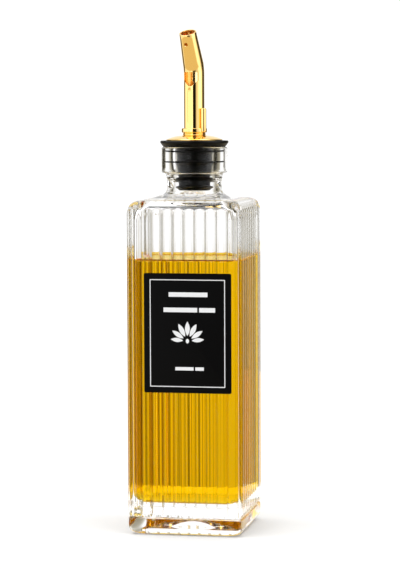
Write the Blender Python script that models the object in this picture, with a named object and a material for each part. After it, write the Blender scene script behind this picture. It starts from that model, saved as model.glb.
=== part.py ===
"""Glass oil dispenser: a square ribbed bottle of olive oil with a rubber stopper and a gold pouring spout.

Metres, +Z up. The origin is the middle of the foot, on the surface the bottle stands on. The label faces -Y.
"""

import math

import bmesh
import bpy
from mathutils import Matrix, Vector

MM = 0.001
FIT_GAP = 0.3 * MM  # clearance kept between pieces that touch

# Bottle body: a square section with upright convex ribs on every side
BODY_WIDTH = 59.4 * MM  # over the rib crests
RIB_DEPTH = 0.8 * MM
RIB_PITCH = 5.5 * MM
RIB_FULLNESS = 4.5  # exponent of a rib's arch: 2 is round, more is flatter with steeper flanks
RIBS_PER_SIDE = 10
RIB_STEPS = 4  # facets across one rib
BODY_CORNER = 1.15 * MM  # edge radius at the bottom of the grooves
RIB_FOOT_Z = 12.0 * MM  # where the ribs reach their full depth above the foot
RIB_HEAD_Z = 164.0 * MM  # and below the shoulder
FOOT_RELIEF = 0.6 * MM  # of the smooth band round the foot, over the grooves
FOOT_BAND_Z = 8.7 * MM
FOOT_INSET = 4.2 * MM
FOOT_HEIGHT = 4.6 * MM
PUNT_RADIUS = 17.0 * MM
PUNT_DEPTH = 2.6 * MM
SHOULDER_TOP_Z = 173.6 * MM
SHOULDER_EDGE_Z = 171.0 * MM
SHOULDER_EDGE_INSET = 5.2 * MM

# Neck and its thick collar, both round
NECK_RADIUS = 14.1 * MM
NECK_FLARE_RADIUS = 15.5 * MM
COLLAR_RADIUS = 17.1 * MM
COLLAR_BOTTOM_Z = 184.3 * MM
LIP_Z = 197.6 * MM
COLLAR_EDGE = 0.9 * MM
MOUTH_RADIUS = 10.1 * MM
NECK_BORE_RADIUS = 11.3 * MM

# Cavity and the oil in it
WALL = 2.4 * MM  # from the bottom of a groove to the cavity
CAVITY_CORNER = 3.0 * MM
CAVITY_TOP_Z = 166.0 * MM
FLOOR_Z = 16.2 * MM
FLOOR_ROUNDING = 4.6 * MM
CAVITY_SIDE_STEPS = 6
CAVITY_CORNER_STEPS = 4
OIL_LEVEL_Z = 140.2 * MM

# Label, stuck on the rib crests of the front
LABEL_WIDTH = 45.0 * MM
LABEL_HEIGHT = 60.9 * MM
LABEL_MIDDLE = (2.0 * MM, 103.9 * MM)  # across and up
LABEL_THICKNESS = 0.4 * MM
LABEL_CORNER = 0.8 * MM

# Rubber stopper: a flange on the lip and a finned plug in the neck
FLANGE_RADIUS = 17.6 * MM
FLANGE_BASE_RADIUS = 16.2 * MM
FLANGE_HEIGHT = 2.9 * MM
PLUG_TOP_RADIUS = 9.0 * MM
PLUG_LOW_RADIUS = 8.2 * MM
PLUG_STEP_Z = 184.6 * MM
PLUG_BOTTOM_Z = 174.8 * MM
FIN_HEIGHT = 1.1 * MM
MOUTH_FINS_Z = (195.2 * MM, 190.0 * MM)
NECK_FINS_Z = (182.6 * MM, 177.8 * MM)
MOUTH_FIN_RADIUS = MOUTH_RADIUS - FIT_GAP
NECK_FIN_RADIUS = 9.9 * MM

# Gold fitting: a shallow dome on the flange, with the beaded socket that holds the spout
DOME_RADIUS = 14.6 * MM
DOME_RIM = 0.3 * MM
DOME_HEIGHT = 2.4 * MM
SOCKET_NECK_RADIUS = 5.6 * MM
BEAD_RADIUS = 6.6 * MM
BEAD_BOTTOM_Z = 204.9 * MM
BEAD_TOP_Z = 207.2 * MM

# Spout: a tube that stands upright, then leans forward and tapers to its mouth
SPOUT_RADIUS = 5.3 * MM
SPOUT_WALL = 0.7 * MM
SPOUT_TIP_RADIUS = 4.35 * MM
SPOUT_BEND_Z = 234.8 * MM
SPOUT_BEND_RADIUS = 14.0 * MM
SPOUT_LEAN = math.radians(23.5)
SPOUT_TURN = math.radians(-12.5)  # the spout's plane is turned a little from the bottle's front
SPOUT_TIP_LENGTH = 17.0 * MM  # of the straight leaning part
WINDOW_TOP_Z = 235.9 * MM
WINDOW_STRAIGHT_Z = 231.6 * MM
WINDOW_BOTTOM_Z = 228.7 * MM
WINDOW_HALF_WIDTH = 4.0 * MM
WINDOW_POINT_HALF_WIDTH = 0.8 * MM
AIR_HOLE_RADIUS = 1.0 * MM
AIR_HOLE_FROM_TIP = 4.8 * MM

# Breather: a thin tube beside the spout
BREATHER_RADIUS = 1.45 * MM
BREATHER_BORE = 0.8 * MM
BREATHER_BORE_DEPTH = 4.0 * MM
BREATHER_BOTTOM_Z = 205.2 * MM
BREATHER_TOP_Z = 217.4 * MM
BREATHER_BEARING = math.radians(55.5)  # from the front towards +X

GROOVE_HALF = BODY_WIDTH / 2 - RIB_DEPTH  # half-width of the body without its ribs
CAVITY_HALF = GROOVE_HALF - WALL
RIB_HALF = RIB_PITCH / 2
RIBBED_HALF = RIBS_PER_SIDE * RIB_HALF  # half-length of the ribbed stretch of a side
FLANGE_BOTTOM_Z = LIP_Z + FIT_GAP
FLANGE_TOP_Z = FLANGE_BOTTOM_Z + FLANGE_HEIGHT
DOME_BOTTOM_Z = FLANGE_TOP_Z + FIT_GAP
SOCKET_FLOOR_Z = BEAD_BOTTOM_Z + 0.1 * MM
SMOOTH_ANGLE = math.radians(32.0)


def clear_scene():
    """Remove what the file already holds."""
    for old in list(bpy.data.objects):
        bpy.data.objects.remove(old, do_unlink=True)


def make_material(name, colour, roughness, metallic=0.0, transmission=0.0, ior=1.5):
    """A Principled material with one colour."""
    material = bpy.data.materials.new(name)
    material.use_nodes = True
    shader = material.node_tree.nodes["Principled BSDF"]
    shader.inputs["Base Color"].default_value = (*colour, 1.0)
    shader.inputs["Roughness"].default_value = roughness
    shader.inputs["Metallic"].default_value = metallic
    shader.inputs["Transmission Weight"].default_value = transmission
    shader.inputs["IOR"].default_value = ior
    return material


def add_object(name, bm, material=None):
    """Turn a closed bmesh into a named object, faces outwards. Without a material it is a cutter or guide."""
    bmesh.ops.recalc_face_normals(bm, faces=bm.faces)
    mesh = bpy.data.meshes.new(name)
    bm.to_mesh(mesh)
    bm.free()
    obj = bpy.data.objects.new(name, mesh)
    bpy.context.scene.collection.objects.link(obj)
    if material is None:
        obj.hide_render = True
        obj.display_type = "WIRE"
    else:
        mesh.materials.append(material)
        mesh.shade_smooth()
        mesh.set_sharp_from_angle(angle=SMOOTH_ANGLE)
    return obj


def combine(target, tool, operation):
    """Add a live Boolean to the target."""
    boolean = target.modifiers.new(tool.name, "BOOLEAN")
    boolean.operation = operation
    boolean.solver = "EXACT"
    boolean.object = tool


def loft(rings):
    """A closed skin over rings of equally many points, capped flat at both ends."""
    bm = bmesh.new()
    rows = [[bm.verts.new(point) for point in ring] for ring in rings]
    for low, high in zip(rows, rows[1:]):
        for i in range(len(low)):
            j = (i + 1) % len(low)
            bm.faces.new((low[i], low[j], high[j], high[i]))
    bm.faces.new(rows[0][::-1])
    bm.faces.new(rows[-1])
    return bm


def turned(profile, segments):
    """A solid of revolution about Z. The profile runs (radius, height) from axis to axis."""
    bm = bmesh.new()
    poles = [bm.verts.new((0.0, 0.0, profile[end][1])) for end in (0, -1)]
    rows = []
    for radius, height in profile[1:-1]:
        row = []
        for i in range(segments):
            angle = math.tau * i / segments
            row.append(bm.verts.new((radius * math.cos(angle), radius * math.sin(angle), height)))
        rows.append(row)
    for i in range(segments):
        j = (i + 1) % segments
        bm.faces.new((poles[0], rows[0][i], rows[0][j]))
        bm.faces.new((poles[1], rows[-1][j], rows[-1][i]))
        for low, high in zip(rows, rows[1:]):
            bm.faces.new((low[i], high[i], high[j], low[j]))
    return bm


def arc(middle, radius, start, end, steps):
    """Profile points along a circular arc, with angles in degrees."""
    points = []
    for i in range(steps + 1):
        angle = math.radians(start + (end - start) * i / steps)
        points.append((middle[0] + radius * math.cos(angle), middle[1] + radius * math.sin(angle)))
    return points


def square_radius(angle, half, corner):
    """Distance from the middle of a rounded square to its edge in the direction of an angle."""
    small, large = sorted((abs(math.cos(angle)), abs(math.sin(angle))))
    inner = half - corner
    reach = half / large
    if reach * small <= inner:
        return reach
    along = inner * (small + large)
    return along + math.sqrt(max(along * along - 2 * inner * inner + corner * corner, 0.0))


def polar_ring(angles, half, corner, z):
    """A rounded square as points in the directions of the angles."""
    ring = []
    for angle in angles:
        radius = square_radius(angle, half, corner)
        ring.append(Vector((radius * math.cos(angle), radius * math.sin(angle), z)))
    return ring


def side_columns():
    """The upright columns of points along one ribbed side and the corner after it, for the side at +X.

    Each is (place, outward direction, distance from the middle of its rib, half-width of that rib).
    """
    columns = []
    for rib in range(RIBS_PER_SIDE):
        middle = (rib - (RIBS_PER_SIDE - 1) / 2) * RIB_PITCH
        for step in range(RIB_STEPS):
            offset = (step / RIB_STEPS - 0.5) * RIB_PITCH
            columns.append((Vector((GROOVE_HALF, middle + offset)), Vector((1, 0)), offset, RIB_HALF))
    centre = GROOVE_HALF - BODY_CORNER
    flat = centre - RIBBED_HALF
    half_length = flat + BODY_CORNER * math.pi / 4
    for step in range(RIB_STEPS):
        offset = (2 * step / RIB_STEPS - 1) * half_length
        turn = min(max((offset + half_length - flat) / BODY_CORNER, 0.0), math.pi / 2)
        outward = Vector((math.cos(turn), math.sin(turn)))
        place = Vector((centre, centre)) + outward * BODY_CORNER
        if step == 0:
            place = Vector((GROOVE_HALF, RIBBED_HALF))
        columns.append((place, outward, offset, half_length))
    return columns


def body_columns():
    """The columns of all four sides, in order round the bottle."""
    columns = []
    for quarter in range(4):
        spin = Matrix.Rotation(quarter * math.pi / 2, 2)
        for place, outward, offset, half_width in side_columns():
            columns.append((spin @ place, spin @ outward, offset, half_width))
    return columns


def rib_relief(offset, half_width, z):
    """Height of a rib over the grooves: a bar with a flattish crest, steep flanks and domed ends."""
    past_end = max(RIB_FOOT_Z - z, z - RIB_HEAD_Z, 0.0)
    fall = abs(offset / half_width) ** RIB_FULLNESS + (past_end / RIB_HALF) ** 2
    return RIB_DEPTH * max(1.0 - fall, 0.0)


def ribbed_ring(columns, z):
    """The body's outline at one height within the straight part."""
    ring = []
    for place, outward, offset, half_width in columns:
        point = place + outward * rib_relief(offset, half_width, z)
        ring.append(Vector((point.x, point.y, z)))
    return ring


def build_bottle(material):
    """The glass: ribbed square body, round neck and collar, one cavity and a hollow under the foot."""
    columns = body_columns()
    angles = [math.atan2(place.y, place.x) for place, _, _, _ in columns]
    rings = []
    band_half, band_corner = GROOVE_HALF + FOOT_RELIEF, BODY_CORNER + FOOT_RELIEF
    for rise in (0.0, 30.0, 60.0, 90.0):  # the foot's rounding, in degrees of its quarter arc
        inset = FOOT_INSET * (1 - math.sin(math.radians(rise)))
        z = FOOT_HEIGHT * (1 - math.cos(math.radians(rise)))
        rings.append(polar_ring(angles, band_half - inset, band_corner + inset, z))
    rings.append(polar_ring(angles, band_half, band_corner, FOOT_BAND_Z))
    dome_steps = (1.0, 0.8, 0.45, 0.0)
    rings += [ribbed_ring(columns, RIB_FOOT_Z - RIB_HALF * step) for step in dome_steps]
    rings += [ribbed_ring(columns, RIB_HEAD_Z + RIB_HALF * step) for step in reversed(dome_steps)]
    edge_start = RIB_HEAD_Z + RIB_HALF
    for turn in (35.0, 65.0, 90.0):  # the shoulder's edge
        inset = SHOULDER_EDGE_INSET * (1 - math.cos(math.radians(turn)))
        z = edge_start + (SHOULDER_EDGE_Z - edge_start) * math.sin(math.radians(turn))
        rings.append(polar_ring(angles, GROOVE_HALF - inset, BODY_CORNER + inset, z))
    slope_half = GROOVE_HALF - SHOULDER_EDGE_INSET
    slope_corner = BODY_CORNER + SHOULDER_EDGE_INSET
    for share in (0.45, 0.8, 1.0):  # from the square to the round neck
        half = slope_half + (NECK_FLARE_RADIUS - slope_half) * share
        corner = slope_corner + (NECK_FLARE_RADIUS - slope_corner) * share
        z = SHOULDER_EDGE_Z + (SHOULDER_TOP_Z - SHOULDER_EDGE_Z) * share**1.6
        rings.append(polar_ring(angles, half, corner, z))
    bottle = add_object("bottle", loft(rings), material)

    neck = [(0.0, SHOULDER_TOP_Z - 3 * MM), (NECK_RADIUS, SHOULDER_TOP_Z - 3 * MM)]
    neck += [(NECK_FLARE_RADIUS - 0.2 * MM, SHOULDER_TOP_Z - 0.2 * MM)]
    neck += [(NECK_RADIUS + 0.3 * MM, SHOULDER_TOP_Z + 1.6 * MM), (NECK_RADIUS, SHOULDER_TOP_Z + 3.6 * MM)]
    neck += [(NECK_RADIUS + 0.9 * MM, COLLAR_BOTTOM_Z - 0.4 * MM)]
    neck += arc((COLLAR_RADIUS - COLLAR_EDGE, COLLAR_BOTTOM_Z + COLLAR_EDGE), COLLAR_EDGE, -90, 0, 3)
    neck += arc((COLLAR_RADIUS - COLLAR_EDGE, LIP_Z - COLLAR_EDGE), COLLAR_EDGE, 0, 90, 3)
    neck += [(0.0, LIP_Z)]
    combine(bottle, add_object("neck_shape", turned(neck, 48)), "UNION")
    combine(bottle, add_object("cavity_shape", loft(cavity_rings(0.0, LIP_Z + MM))), "DIFFERENCE")

    rise = (PUNT_RADIUS**2 - PUNT_DEPTH**2) / (2 * PUNT_DEPTH)  # of the dome's centre below the foot
    sweep = math.degrees(math.atan2(rise, PUNT_RADIUS))
    punt = arc((0.0, -rise), rise + PUNT_DEPTH, 90, sweep, 4)
    punt = punt[:-1] + [(PUNT_RADIUS, 0.0), (PUNT_RADIUS + 0.5 * MM, -MM), (0.0, -MM)]
    combine(bottle, add_object("punt_shape", turned(punt, 36)), "DIFFERENCE")
    return bottle


def cavity_rings(gap, top):
    """Outlines of the cavity from its floor up to a height, drawn in by a gap all over."""
    edge = math.atan2(CAVITY_HALF - CAVITY_CORNER, CAVITY_HALF)
    angles = []
    for quarter in range(4):
        middle = quarter * math.pi / 2
        angles += [middle + edge * (2 * step / CAVITY_SIDE_STEPS - 1) for step in range(CAVITY_SIDE_STEPS)]
        turn = math.pi / 2 - 2 * edge
        angles += [middle + edge + turn * step / CAVITY_CORNER_STEPS for step in range(CAVITY_CORNER_STEPS)]
    sections = []
    for rise in (20.0, 50.0, 90.0):  # the floor's rounding
        inset = FLOOR_ROUNDING * (1 - math.sin(math.radians(rise)))
        z = FLOOR_Z + FLOOR_ROUNDING * (1 - math.cos(math.radians(rise)))
        sections.append((CAVITY_HALF - inset, CAVITY_CORNER, z))
    sections += [
        (CAVITY_HALF, CAVITY_CORNER, CAVITY_TOP_Z - 5 * MM),
        (CAVITY_HALF - 1.0 * MM, CAVITY_CORNER + 0.6 * MM, CAVITY_TOP_Z),
        (CAVITY_HALF - 5.0 * MM, CAVITY_CORNER + 3.0 * MM, CAVITY_TOP_Z + 2.8 * MM),
        (NECK_BORE_RADIUS + 2.2 * MM, NECK_BORE_RADIUS + 2.2 * MM, CAVITY_TOP_Z + 6.4 * MM),
        (NECK_BORE_RADIUS, NECK_BORE_RADIUS, SHOULDER_TOP_Z + 1.0 * MM),
        (NECK_BORE_RADIUS, NECK_BORE_RADIUS, COLLAR_BOTTOM_Z),
        (MOUTH_RADIUS, MOUTH_RADIUS, COLLAR_BOTTOM_Z + 3 * MM),
        (MOUTH_RADIUS, MOUTH_RADIUS, LIP_Z + MM),
    ]
    rings = []
    for half, corner, z in sections:
        if z < top:
            last = (half, corner)
            height = max(z, FLOOR_Z + gap + (z - FLOOR_Z))
            rings.append(polar_ring(angles, half - gap, corner - gap, height))
    if rings[-1][0].z < top - 0.1 * MM:
        rings.append(polar_ring(angles, last[0] - gap, last[1] - gap, top))
    return rings


def build_oil(material):
    """The oil, from the cavity's floor to its level."""
    return add_object("oil", loft(cavity_rings(FIT_GAP, OIL_LEVEL_Z)), material)


def build_label(material):
    """A thin plate with rounded corners that stands on the rib crests."""
    across, up = LABEL_MIDDLE
    outline = []
    for quarter, (side, rise) in enumerate(((1, 1), (-1, 1), (-1, -1), (1, -1))):
        x = across + side * (LABEL_WIDTH / 2 - LABEL_CORNER)
        z = up + rise * (LABEL_HEIGHT / 2 - LABEL_CORNER)
        outline += arc((x, z), LABEL_CORNER, quarter * 90, quarter * 90 + 90, 3)
    back = -BODY_WIDTH / 2 - FIT_GAP
    rings = [[Vector((x, y, z)) for x, z in outline] for y in (back, back - LABEL_THICKNESS)]
    return add_object("label", loft(rings), material)


def fin(radius, core, z):
    """Profile of one sealing fin, read upwards."""
    underside = [(core, z - FIN_HEIGHT), (radius, z - FIN_HEIGHT / 4)]
    return underside + [(radius, z + FIN_HEIGHT / 4), (core, z + FIN_HEIGHT / 2)]


def build_stopper(material):
    """The rubber stopper: plug with four fins and a flange whose rim is bevelled."""
    profile = [(0.0, PLUG_BOTTOM_Z), (PLUG_LOW_RADIUS - MM, PLUG_BOTTOM_Z)]
    profile += [(PLUG_LOW_RADIUS, PLUG_BOTTOM_Z + MM)]
    for z in reversed(NECK_FINS_Z):
        profile += fin(NECK_FIN_RADIUS, PLUG_LOW_RADIUS, z)
    profile += [(PLUG_LOW_RADIUS, PLUG_STEP_Z), (PLUG_TOP_RADIUS, PLUG_STEP_Z + MM)]
    for z in reversed(MOUTH_FINS_Z):
        profile += fin(MOUTH_FIN_RADIUS, PLUG_TOP_RADIUS, z)
    profile += [(PLUG_TOP_RADIUS, FLANGE_BOTTOM_Z), (FLANGE_BASE_RADIUS, FLANGE_BOTTOM_Z)]
    profile += [(FLANGE_RADIUS, FLANGE_TOP_Z - 0.9 * MM), (FLANGE_RADIUS, FLANGE_TOP_Z - 0.3 * MM)]
    profile += [(FLANGE_RADIUS - 0.4 * MM, FLANGE_TOP_Z), (0.0, FLANGE_TOP_Z)]
    return add_object("stopper", turned(profile, 48), material)


def breather_place(distance):
    """Where the breather's axis stands, at a distance from the spout's."""
    return Vector((distance * math.sin(BREATHER_BEARING), -distance * math.cos(BREATHER_BEARING), 0.0))


def build_dome(material):
    """The gold dome with its short neck and the beaded socket, notched for the breather."""
    profile = [(0.0, DOME_BOTTOM_Z), (DOME_RADIUS, DOME_BOTTOM_Z), (DOME_RADIUS, DOME_BOTTOM_Z + DOME_RIM)]
    for share in (0.25, 0.5, 0.75, 1.0):
        radius = DOME_RADIUS + (SOCKET_NECK_RADIUS + 0.5 * MM - DOME_RADIUS) * share
        height = DOME_RIM + (DOME_HEIGHT - DOME_RIM) * (1 - (1 - share) ** 1.8)
        profile.append((radius, DOME_BOTTOM_Z + height))
    profile += [(SOCKET_NECK_RADIUS, BEAD_BOTTOM_Z - 0.4 * MM), (SOCKET_NECK_RADIUS, BEAD_BOTTOM_Z)]
    profile += [(BEAD_RADIUS - 0.3 * MM, BEAD_BOTTOM_Z), (BEAD_RADIUS, BEAD_BOTTOM_Z + 0.5 * MM)]
    profile += [(BEAD_RADIUS, BEAD_TOP_Z - 0.5 * MM), (BEAD_RADIUS - 0.3 * MM, BEAD_TOP_Z)]
    socket = SPOUT_RADIUS + FIT_GAP
    profile += [(socket, BEAD_TOP_Z), (socket, SOCKET_FLOOR_Z), (0.0, SOCKET_FLOOR_Z)]
    dome = add_object("dome", turned(profile, 48), material)
    reach = BREATHER_RADIUS + FIT_GAP
    low, high = BREATHER_BOTTOM_Z - FIT_GAP, BEAD_TOP_Z + MM
    notch = add_object("breather_notch", turned([(0.0, low), (reach, low), (reach, high), (0.0, high)], 20))
    notch.location = breather_place(socket + BREATHER_RADIUS)
    combine(dome, notch, "DIFFERENCE")
    return dome


def spout_stations():
    """Points up the spout's middle line as (forward, height, lean, share of the taper)."""
    stations = [(0.0, SOCKET_FLOOR_Z + FIT_GAP, 0.0, 0.0)]
    steps = 4
    for i in range(steps + 1):
        lean = SPOUT_LEAN * i / steps
        forward = SPOUT_BEND_RADIUS * (1 - math.cos(lean))
        stations.append((forward, SPOUT_BEND_Z + SPOUT_BEND_RADIUS * math.sin(lean), lean, 0.0))
    forward, height, lean, _ = stations[-1]
    forward += SPOUT_TIP_LENGTH * math.sin(lean)
    height += SPOUT_TIP_LENGTH * math.cos(lean)
    stations.append((forward, height, lean, 1.0))
    return stations


def spout_rings(inset, overrun):
    """Rings of the spout's surface, drawn in by an inset and run past both ends."""
    segments = 32
    rings = []
    stations = spout_stations()
    for index, (forward, height, lean, share) in enumerate(stations):
        radius = SPOUT_RADIUS + (SPOUT_TIP_RADIUS - SPOUT_RADIUS) * share - inset
        past = {0: -overrun, len(stations) - 1: overrun}.get(index, 0.0)
        along = Vector((0.0, -math.sin(lean), math.cos(lean)))
        middle = Vector((0.0, -forward, height)) + along * past
        side, front = Vector((1, 0, 0)), Vector((0.0, -math.cos(lean), -math.sin(lean)))
        angles = [math.tau * i / segments for i in range(segments)]
        rings.append([middle + (side * math.cos(a) + front * math.sin(a)) * radius for a in angles])
    return rings


def build_spout(material):
    """The bent tube with the pouring window at its bend and the small air hole near its mouth."""
    turn = Matrix.Rotation(SPOUT_TURN, 4, "Z")
    spout = add_object("spout", loft(spout_rings(0.0, 0.0)), material)
    bore = add_object("spout_bore", loft(spout_rings(SPOUT_WALL, MM)))

    outline = [
        (-WINDOW_HALF_WIDTH, WINDOW_TOP_Z),
        (-WINDOW_HALF_WIDTH, WINDOW_STRAIGHT_Z),
        (-WINDOW_POINT_HALF_WIDTH, WINDOW_BOTTOM_Z),
        (WINDOW_POINT_HALF_WIDTH, WINDOW_BOTTOM_Z),
        (WINDOW_HALF_WIDTH, WINDOW_STRAIGHT_Z),
        (WINDOW_HALF_WIDTH, WINDOW_TOP_Z),
    ]
    depths = (-1.2 * MM, -SPOUT_RADIUS - 2 * MM)
    window = add_object("window", loft([[Vector((x, y, z)) for x, z in outline] for y in depths]))

    forward, height, lean, _ = spout_stations()[-1]
    along = Vector((0.0, -math.sin(lean), math.cos(lean)))
    outward = Vector((0.0, -math.cos(lean), -math.sin(lean)))
    drill_length = 8 * MM
    profile = [(0.0, 0.0), (AIR_HOLE_RADIUS, 0.0), (AIR_HOLE_RADIUS, drill_length), (0.0, drill_length)]
    air_hole = add_object("air_hole", turned(profile, 16))
    start = Vector((0.0, -forward, height)) - along * AIR_HOLE_FROM_TIP + outward * MM
    aim = outward.to_track_quat("Z", "Y").to_matrix().to_4x4()
    air_hole.matrix_world = turn @ Matrix.Translation(start) @ aim

    for obj in (spout, bore, window):
        obj.matrix_world = turn
    for cutter in (bore, window, air_hole):
        combine(spout, cutter, "DIFFERENCE")
    return spout


def build_breather(material):
    """The thin vent tube, rounded at both ends, with a blind bore in its top."""
    edge = 0.5 * MM
    profile = [(0.0, BREATHER_BOTTOM_Z)]
    profile += arc((BREATHER_RADIUS - edge, BREATHER_BOTTOM_Z + edge), edge, -90, 0, 2)
    profile += arc((BREATHER_RADIUS - edge, BREATHER_TOP_Z - edge), edge, 0, 90, 2)
    profile += [(BREATHER_BORE, BREATHER_TOP_Z), (BREATHER_BORE, BREATHER_TOP_Z - BREATHER_BORE_DEPTH)]
    profile += [(0.0, BREATHER_TOP_Z - BREATHER_BORE_DEPTH)]
    breather = add_object("breather", turned(profile, 18), material)
    breather.location = breather_place(SPOUT_RADIUS + FIT_GAP + BREATHER_RADIUS)
    return breather


def main():
    clear_scene()
    clear_glass = make_material("clear_glass", (0.95, 0.97, 0.96), 0.02, transmission=1.0, ior=1.52)
    olive_oil = make_material("olive_oil", (0.86, 0.60, 0.03), 0.02, transmission=0.9, ior=1.47)
    black_card = make_material("black_card", (0.015, 0.015, 0.016), 0.55)
    black_rubber = make_material("black_rubber", (0.02, 0.02, 0.021), 0.5)
    gold_plate = make_material("gold_plate", (0.93, 0.67, 0.22), 0.12, metallic=1.0)
    build_bottle(clear_glass)
    build_oil(olive_oil)
    build_label(black_card)
    build_stopper(black_rubber)
    build_dome(gold_plate)
    build_spout(gold_plate)
    build_breather(gold_plate)


main()
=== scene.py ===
"""Looks of the glass oil dispenser: ribbed bottle, golden oil, black label, rubber stopper and gold spout.

Metres, +Z up. The bottle stands on the origin and its label faces -Y.
"""

import logging
import math
from collections.abc import Sequence
from dataclasses import dataclass, field
from enum import Enum

import bmesh
import bpy
from mathutils import Matrix, Quaternion, Vector


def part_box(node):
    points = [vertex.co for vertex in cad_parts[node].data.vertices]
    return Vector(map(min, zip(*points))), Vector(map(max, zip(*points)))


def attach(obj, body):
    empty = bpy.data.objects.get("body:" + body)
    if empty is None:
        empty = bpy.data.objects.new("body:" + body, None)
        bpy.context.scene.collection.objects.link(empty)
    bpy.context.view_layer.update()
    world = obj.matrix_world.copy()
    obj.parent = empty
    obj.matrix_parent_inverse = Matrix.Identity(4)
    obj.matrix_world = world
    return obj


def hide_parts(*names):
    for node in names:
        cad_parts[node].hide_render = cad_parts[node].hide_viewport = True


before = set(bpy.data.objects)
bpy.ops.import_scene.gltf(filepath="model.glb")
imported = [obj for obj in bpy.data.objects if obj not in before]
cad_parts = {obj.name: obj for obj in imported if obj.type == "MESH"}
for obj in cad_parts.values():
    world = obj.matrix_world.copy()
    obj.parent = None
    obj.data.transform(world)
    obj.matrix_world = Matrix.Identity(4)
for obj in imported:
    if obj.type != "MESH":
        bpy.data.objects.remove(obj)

LOG = logging.getLogger("oil_dispenser")
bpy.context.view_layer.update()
MM = 0.001
BODY = "root"  # the one body: nothing on the dispenser moves
DIM_GREEN_LOSS = 0.14  # share of its green that studio light loses as it dims to nothing
DIM_BLUE_LOSS = 0.5  # and of its blue
NOISE_LOW, NOISE_HIGH = 0.3, 0.7  # nearly all of a noise's values lie between these

Point = tuple[float, float]
Ring = list[Vector]
Blank = tuple[bpy.types.Material, bpy.types.NodeTree, bpy.types.Node, bpy.types.Node]


class Slot(Enum):
    """The material slots that pieces are made of."""

    GLASS = "clear_glass"
    OIL = "olive_oil"
    CARD = "black_card"
    RUBBER = "black_rubber"
    GOLD = "gold_plate"


# ---------------------------------------------------------------- small helpers


def srgb(code: str) -> tuple[float, float, float, float]:
    """Turn an sRGB hex colour into a linear colour.

    Args:
        code: Six hex digits after a number sign.

    Returns:
        Linear red, green and blue, and an alpha of 1.
    """
    parts = []
    for start in (1, 3, 5):
        value = int(code[start:start + 2], 16) / 255
        parts.append(value / 12.92 if value <= 0.04045 else ((value + 0.055) / 1.055) ** 2.4)
    return (parts[0], parts[1], parts[2], 1.0)


def add_node(tree: bpy.types.NodeTree, kind: str, sockets: dict | None = None, **settings) -> bpy.types.Node:
    """Add a node to a tree with its settings and links.

    Args:
        tree: The shader, world or geometry tree.
        kind: The node's type name.
        sockets: A value or an output socket for each input, by name or index.
        **settings: Properties of the node itself.

    Returns:
        The new node.
    """
    node = tree.nodes.new(kind)
    for name, value in settings.items():
        setattr(node, name, value)
    for name, value in (sockets or {}).items():
        if isinstance(value, bpy.types.NodeSocket):
            tree.links.new(value, node.inputs[name])
        else:
            node.inputs[name].default_value = value
    return node


def arc(middle: Point, radius: float, start: float, end: float, steps: int) -> list[Point]:
    """Points along a circular arc of a profile.

    Args:
        middle: The arc's centre.
        radius: Its radius.
        start: First angle in degrees.
        end: Last angle in degrees.
        steps: Number of chords.

    Returns:
        The points, both ends among them.
    """
    angles = [math.radians(start + (end - start) * i / steps) for i in range(steps + 1)]
    return [(middle[0] + radius * math.cos(a), middle[1] + radius * math.sin(a)) for a in angles]


def smooth_path(points: Sequence[Point], steps: int) -> list[Point]:
    """Draw a smooth line through a profile's points.

    Args:
        points: The points that the line passes.
        steps: Chords between two of them.

    Returns:
        Points of a Catmull-Rom curve.
    """
    ends = [points[0], *points, points[-1]]
    line = []
    for before, a, b, after in zip(ends, ends[1:], ends[2:], ends[3:]):
        for step in range(steps):
            t = step / steps
            line.append(tuple(
                0.5 * (2 * p1 + (p2 - p0) * t + (2 * p0 - 5 * p1 + 4 * p2 - p3) * t * t
                       + (3 * p1 - p0 - 3 * p2 + p3) * t ** 3)
                for p0, p1, p2, p3 in zip(before, a, b, after)))
    return [*line, tuple(points[-1])]


def square_radius(angle: float, half: float, corner: float) -> float:
    """Distance from the middle of a rounded square to its edge.

    Args:
        angle: The direction looked in.
        half: The square's half-width.
        corner: Its corner radius.

    Returns:
        The distance to the edge.
    """
    small, large = sorted((abs(math.cos(angle)), abs(math.sin(angle))))
    inner = half - corner
    reach = half / large
    if reach * small <= inner:
        return reach
    along = inner * (small + large)
    return along + math.sqrt(max(along * along - 2 * inner * inner + corner * corner, 0.0))


def square_ring(angles: Sequence[float], half: float, corner: float, z: float) -> Ring:
    """A level ring in the shape of a rounded square.

    Args:
        angles: The direction of each of its points.
        half: The square's half-width.
        corner: Its corner radius.
        z: The ring's height.

    Returns:
        One point for each angle.
    """
    ring = []
    for angle in angles:
        radius = square_radius(angle, half, corner)
        ring.append(Vector((radius * math.cos(angle), radius * math.sin(angle), z)))
    return ring


def loft(rings: Sequence[Ring], poles: tuple[Vector, Vector] | None = None) -> bmesh.types.BMesh:
    """Stretch a closed skin over rings of equally many points.

    Args:
        rings: The rings in order.
        poles: A point that closes each end, or None for flat caps.

    Returns:
        The skin.
    """
    bm = bmesh.new()
    rows = [[bm.verts.new(point) for point in ring] for ring in rings]
    count = len(rows[0])
    for low, high in zip(rows, rows[1:]):
        for i in range(count):
            j = (i + 1) % count
            bm.faces.new((low[i], low[j], high[j], high[i]))
    if poles is None:
        bm.faces.new(rows[0][::-1])
        bm.faces.new(rows[-1])
    else:
        first, last = (bm.verts.new(pole) for pole in poles)
        for i in range(count):
            j = (i + 1) % count
            bm.faces.new((first, rows[0][j], rows[0][i]))
            bm.faces.new((last, rows[-1][i], rows[-1][j]))
    return bm


def turned(profile: Sequence[Point], segments: int) -> bmesh.types.BMesh:
    """Turn a profile about Z into a solid.

    Args:
        profile: (radius, height) points from axis to axis.
        segments: Sides of the solid.

    Returns:
        The solid's skin.
    """
    angles = [math.tau * i / segments for i in range(segments)]
    rings = [[Vector((r * math.cos(a), r * math.sin(a), z)) for a in angles] for r, z in profile[1:-1]]
    return loft(rings, (Vector((0, 0, profile[0][1])), Vector((0, 0, profile[-1][1]))))


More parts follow.
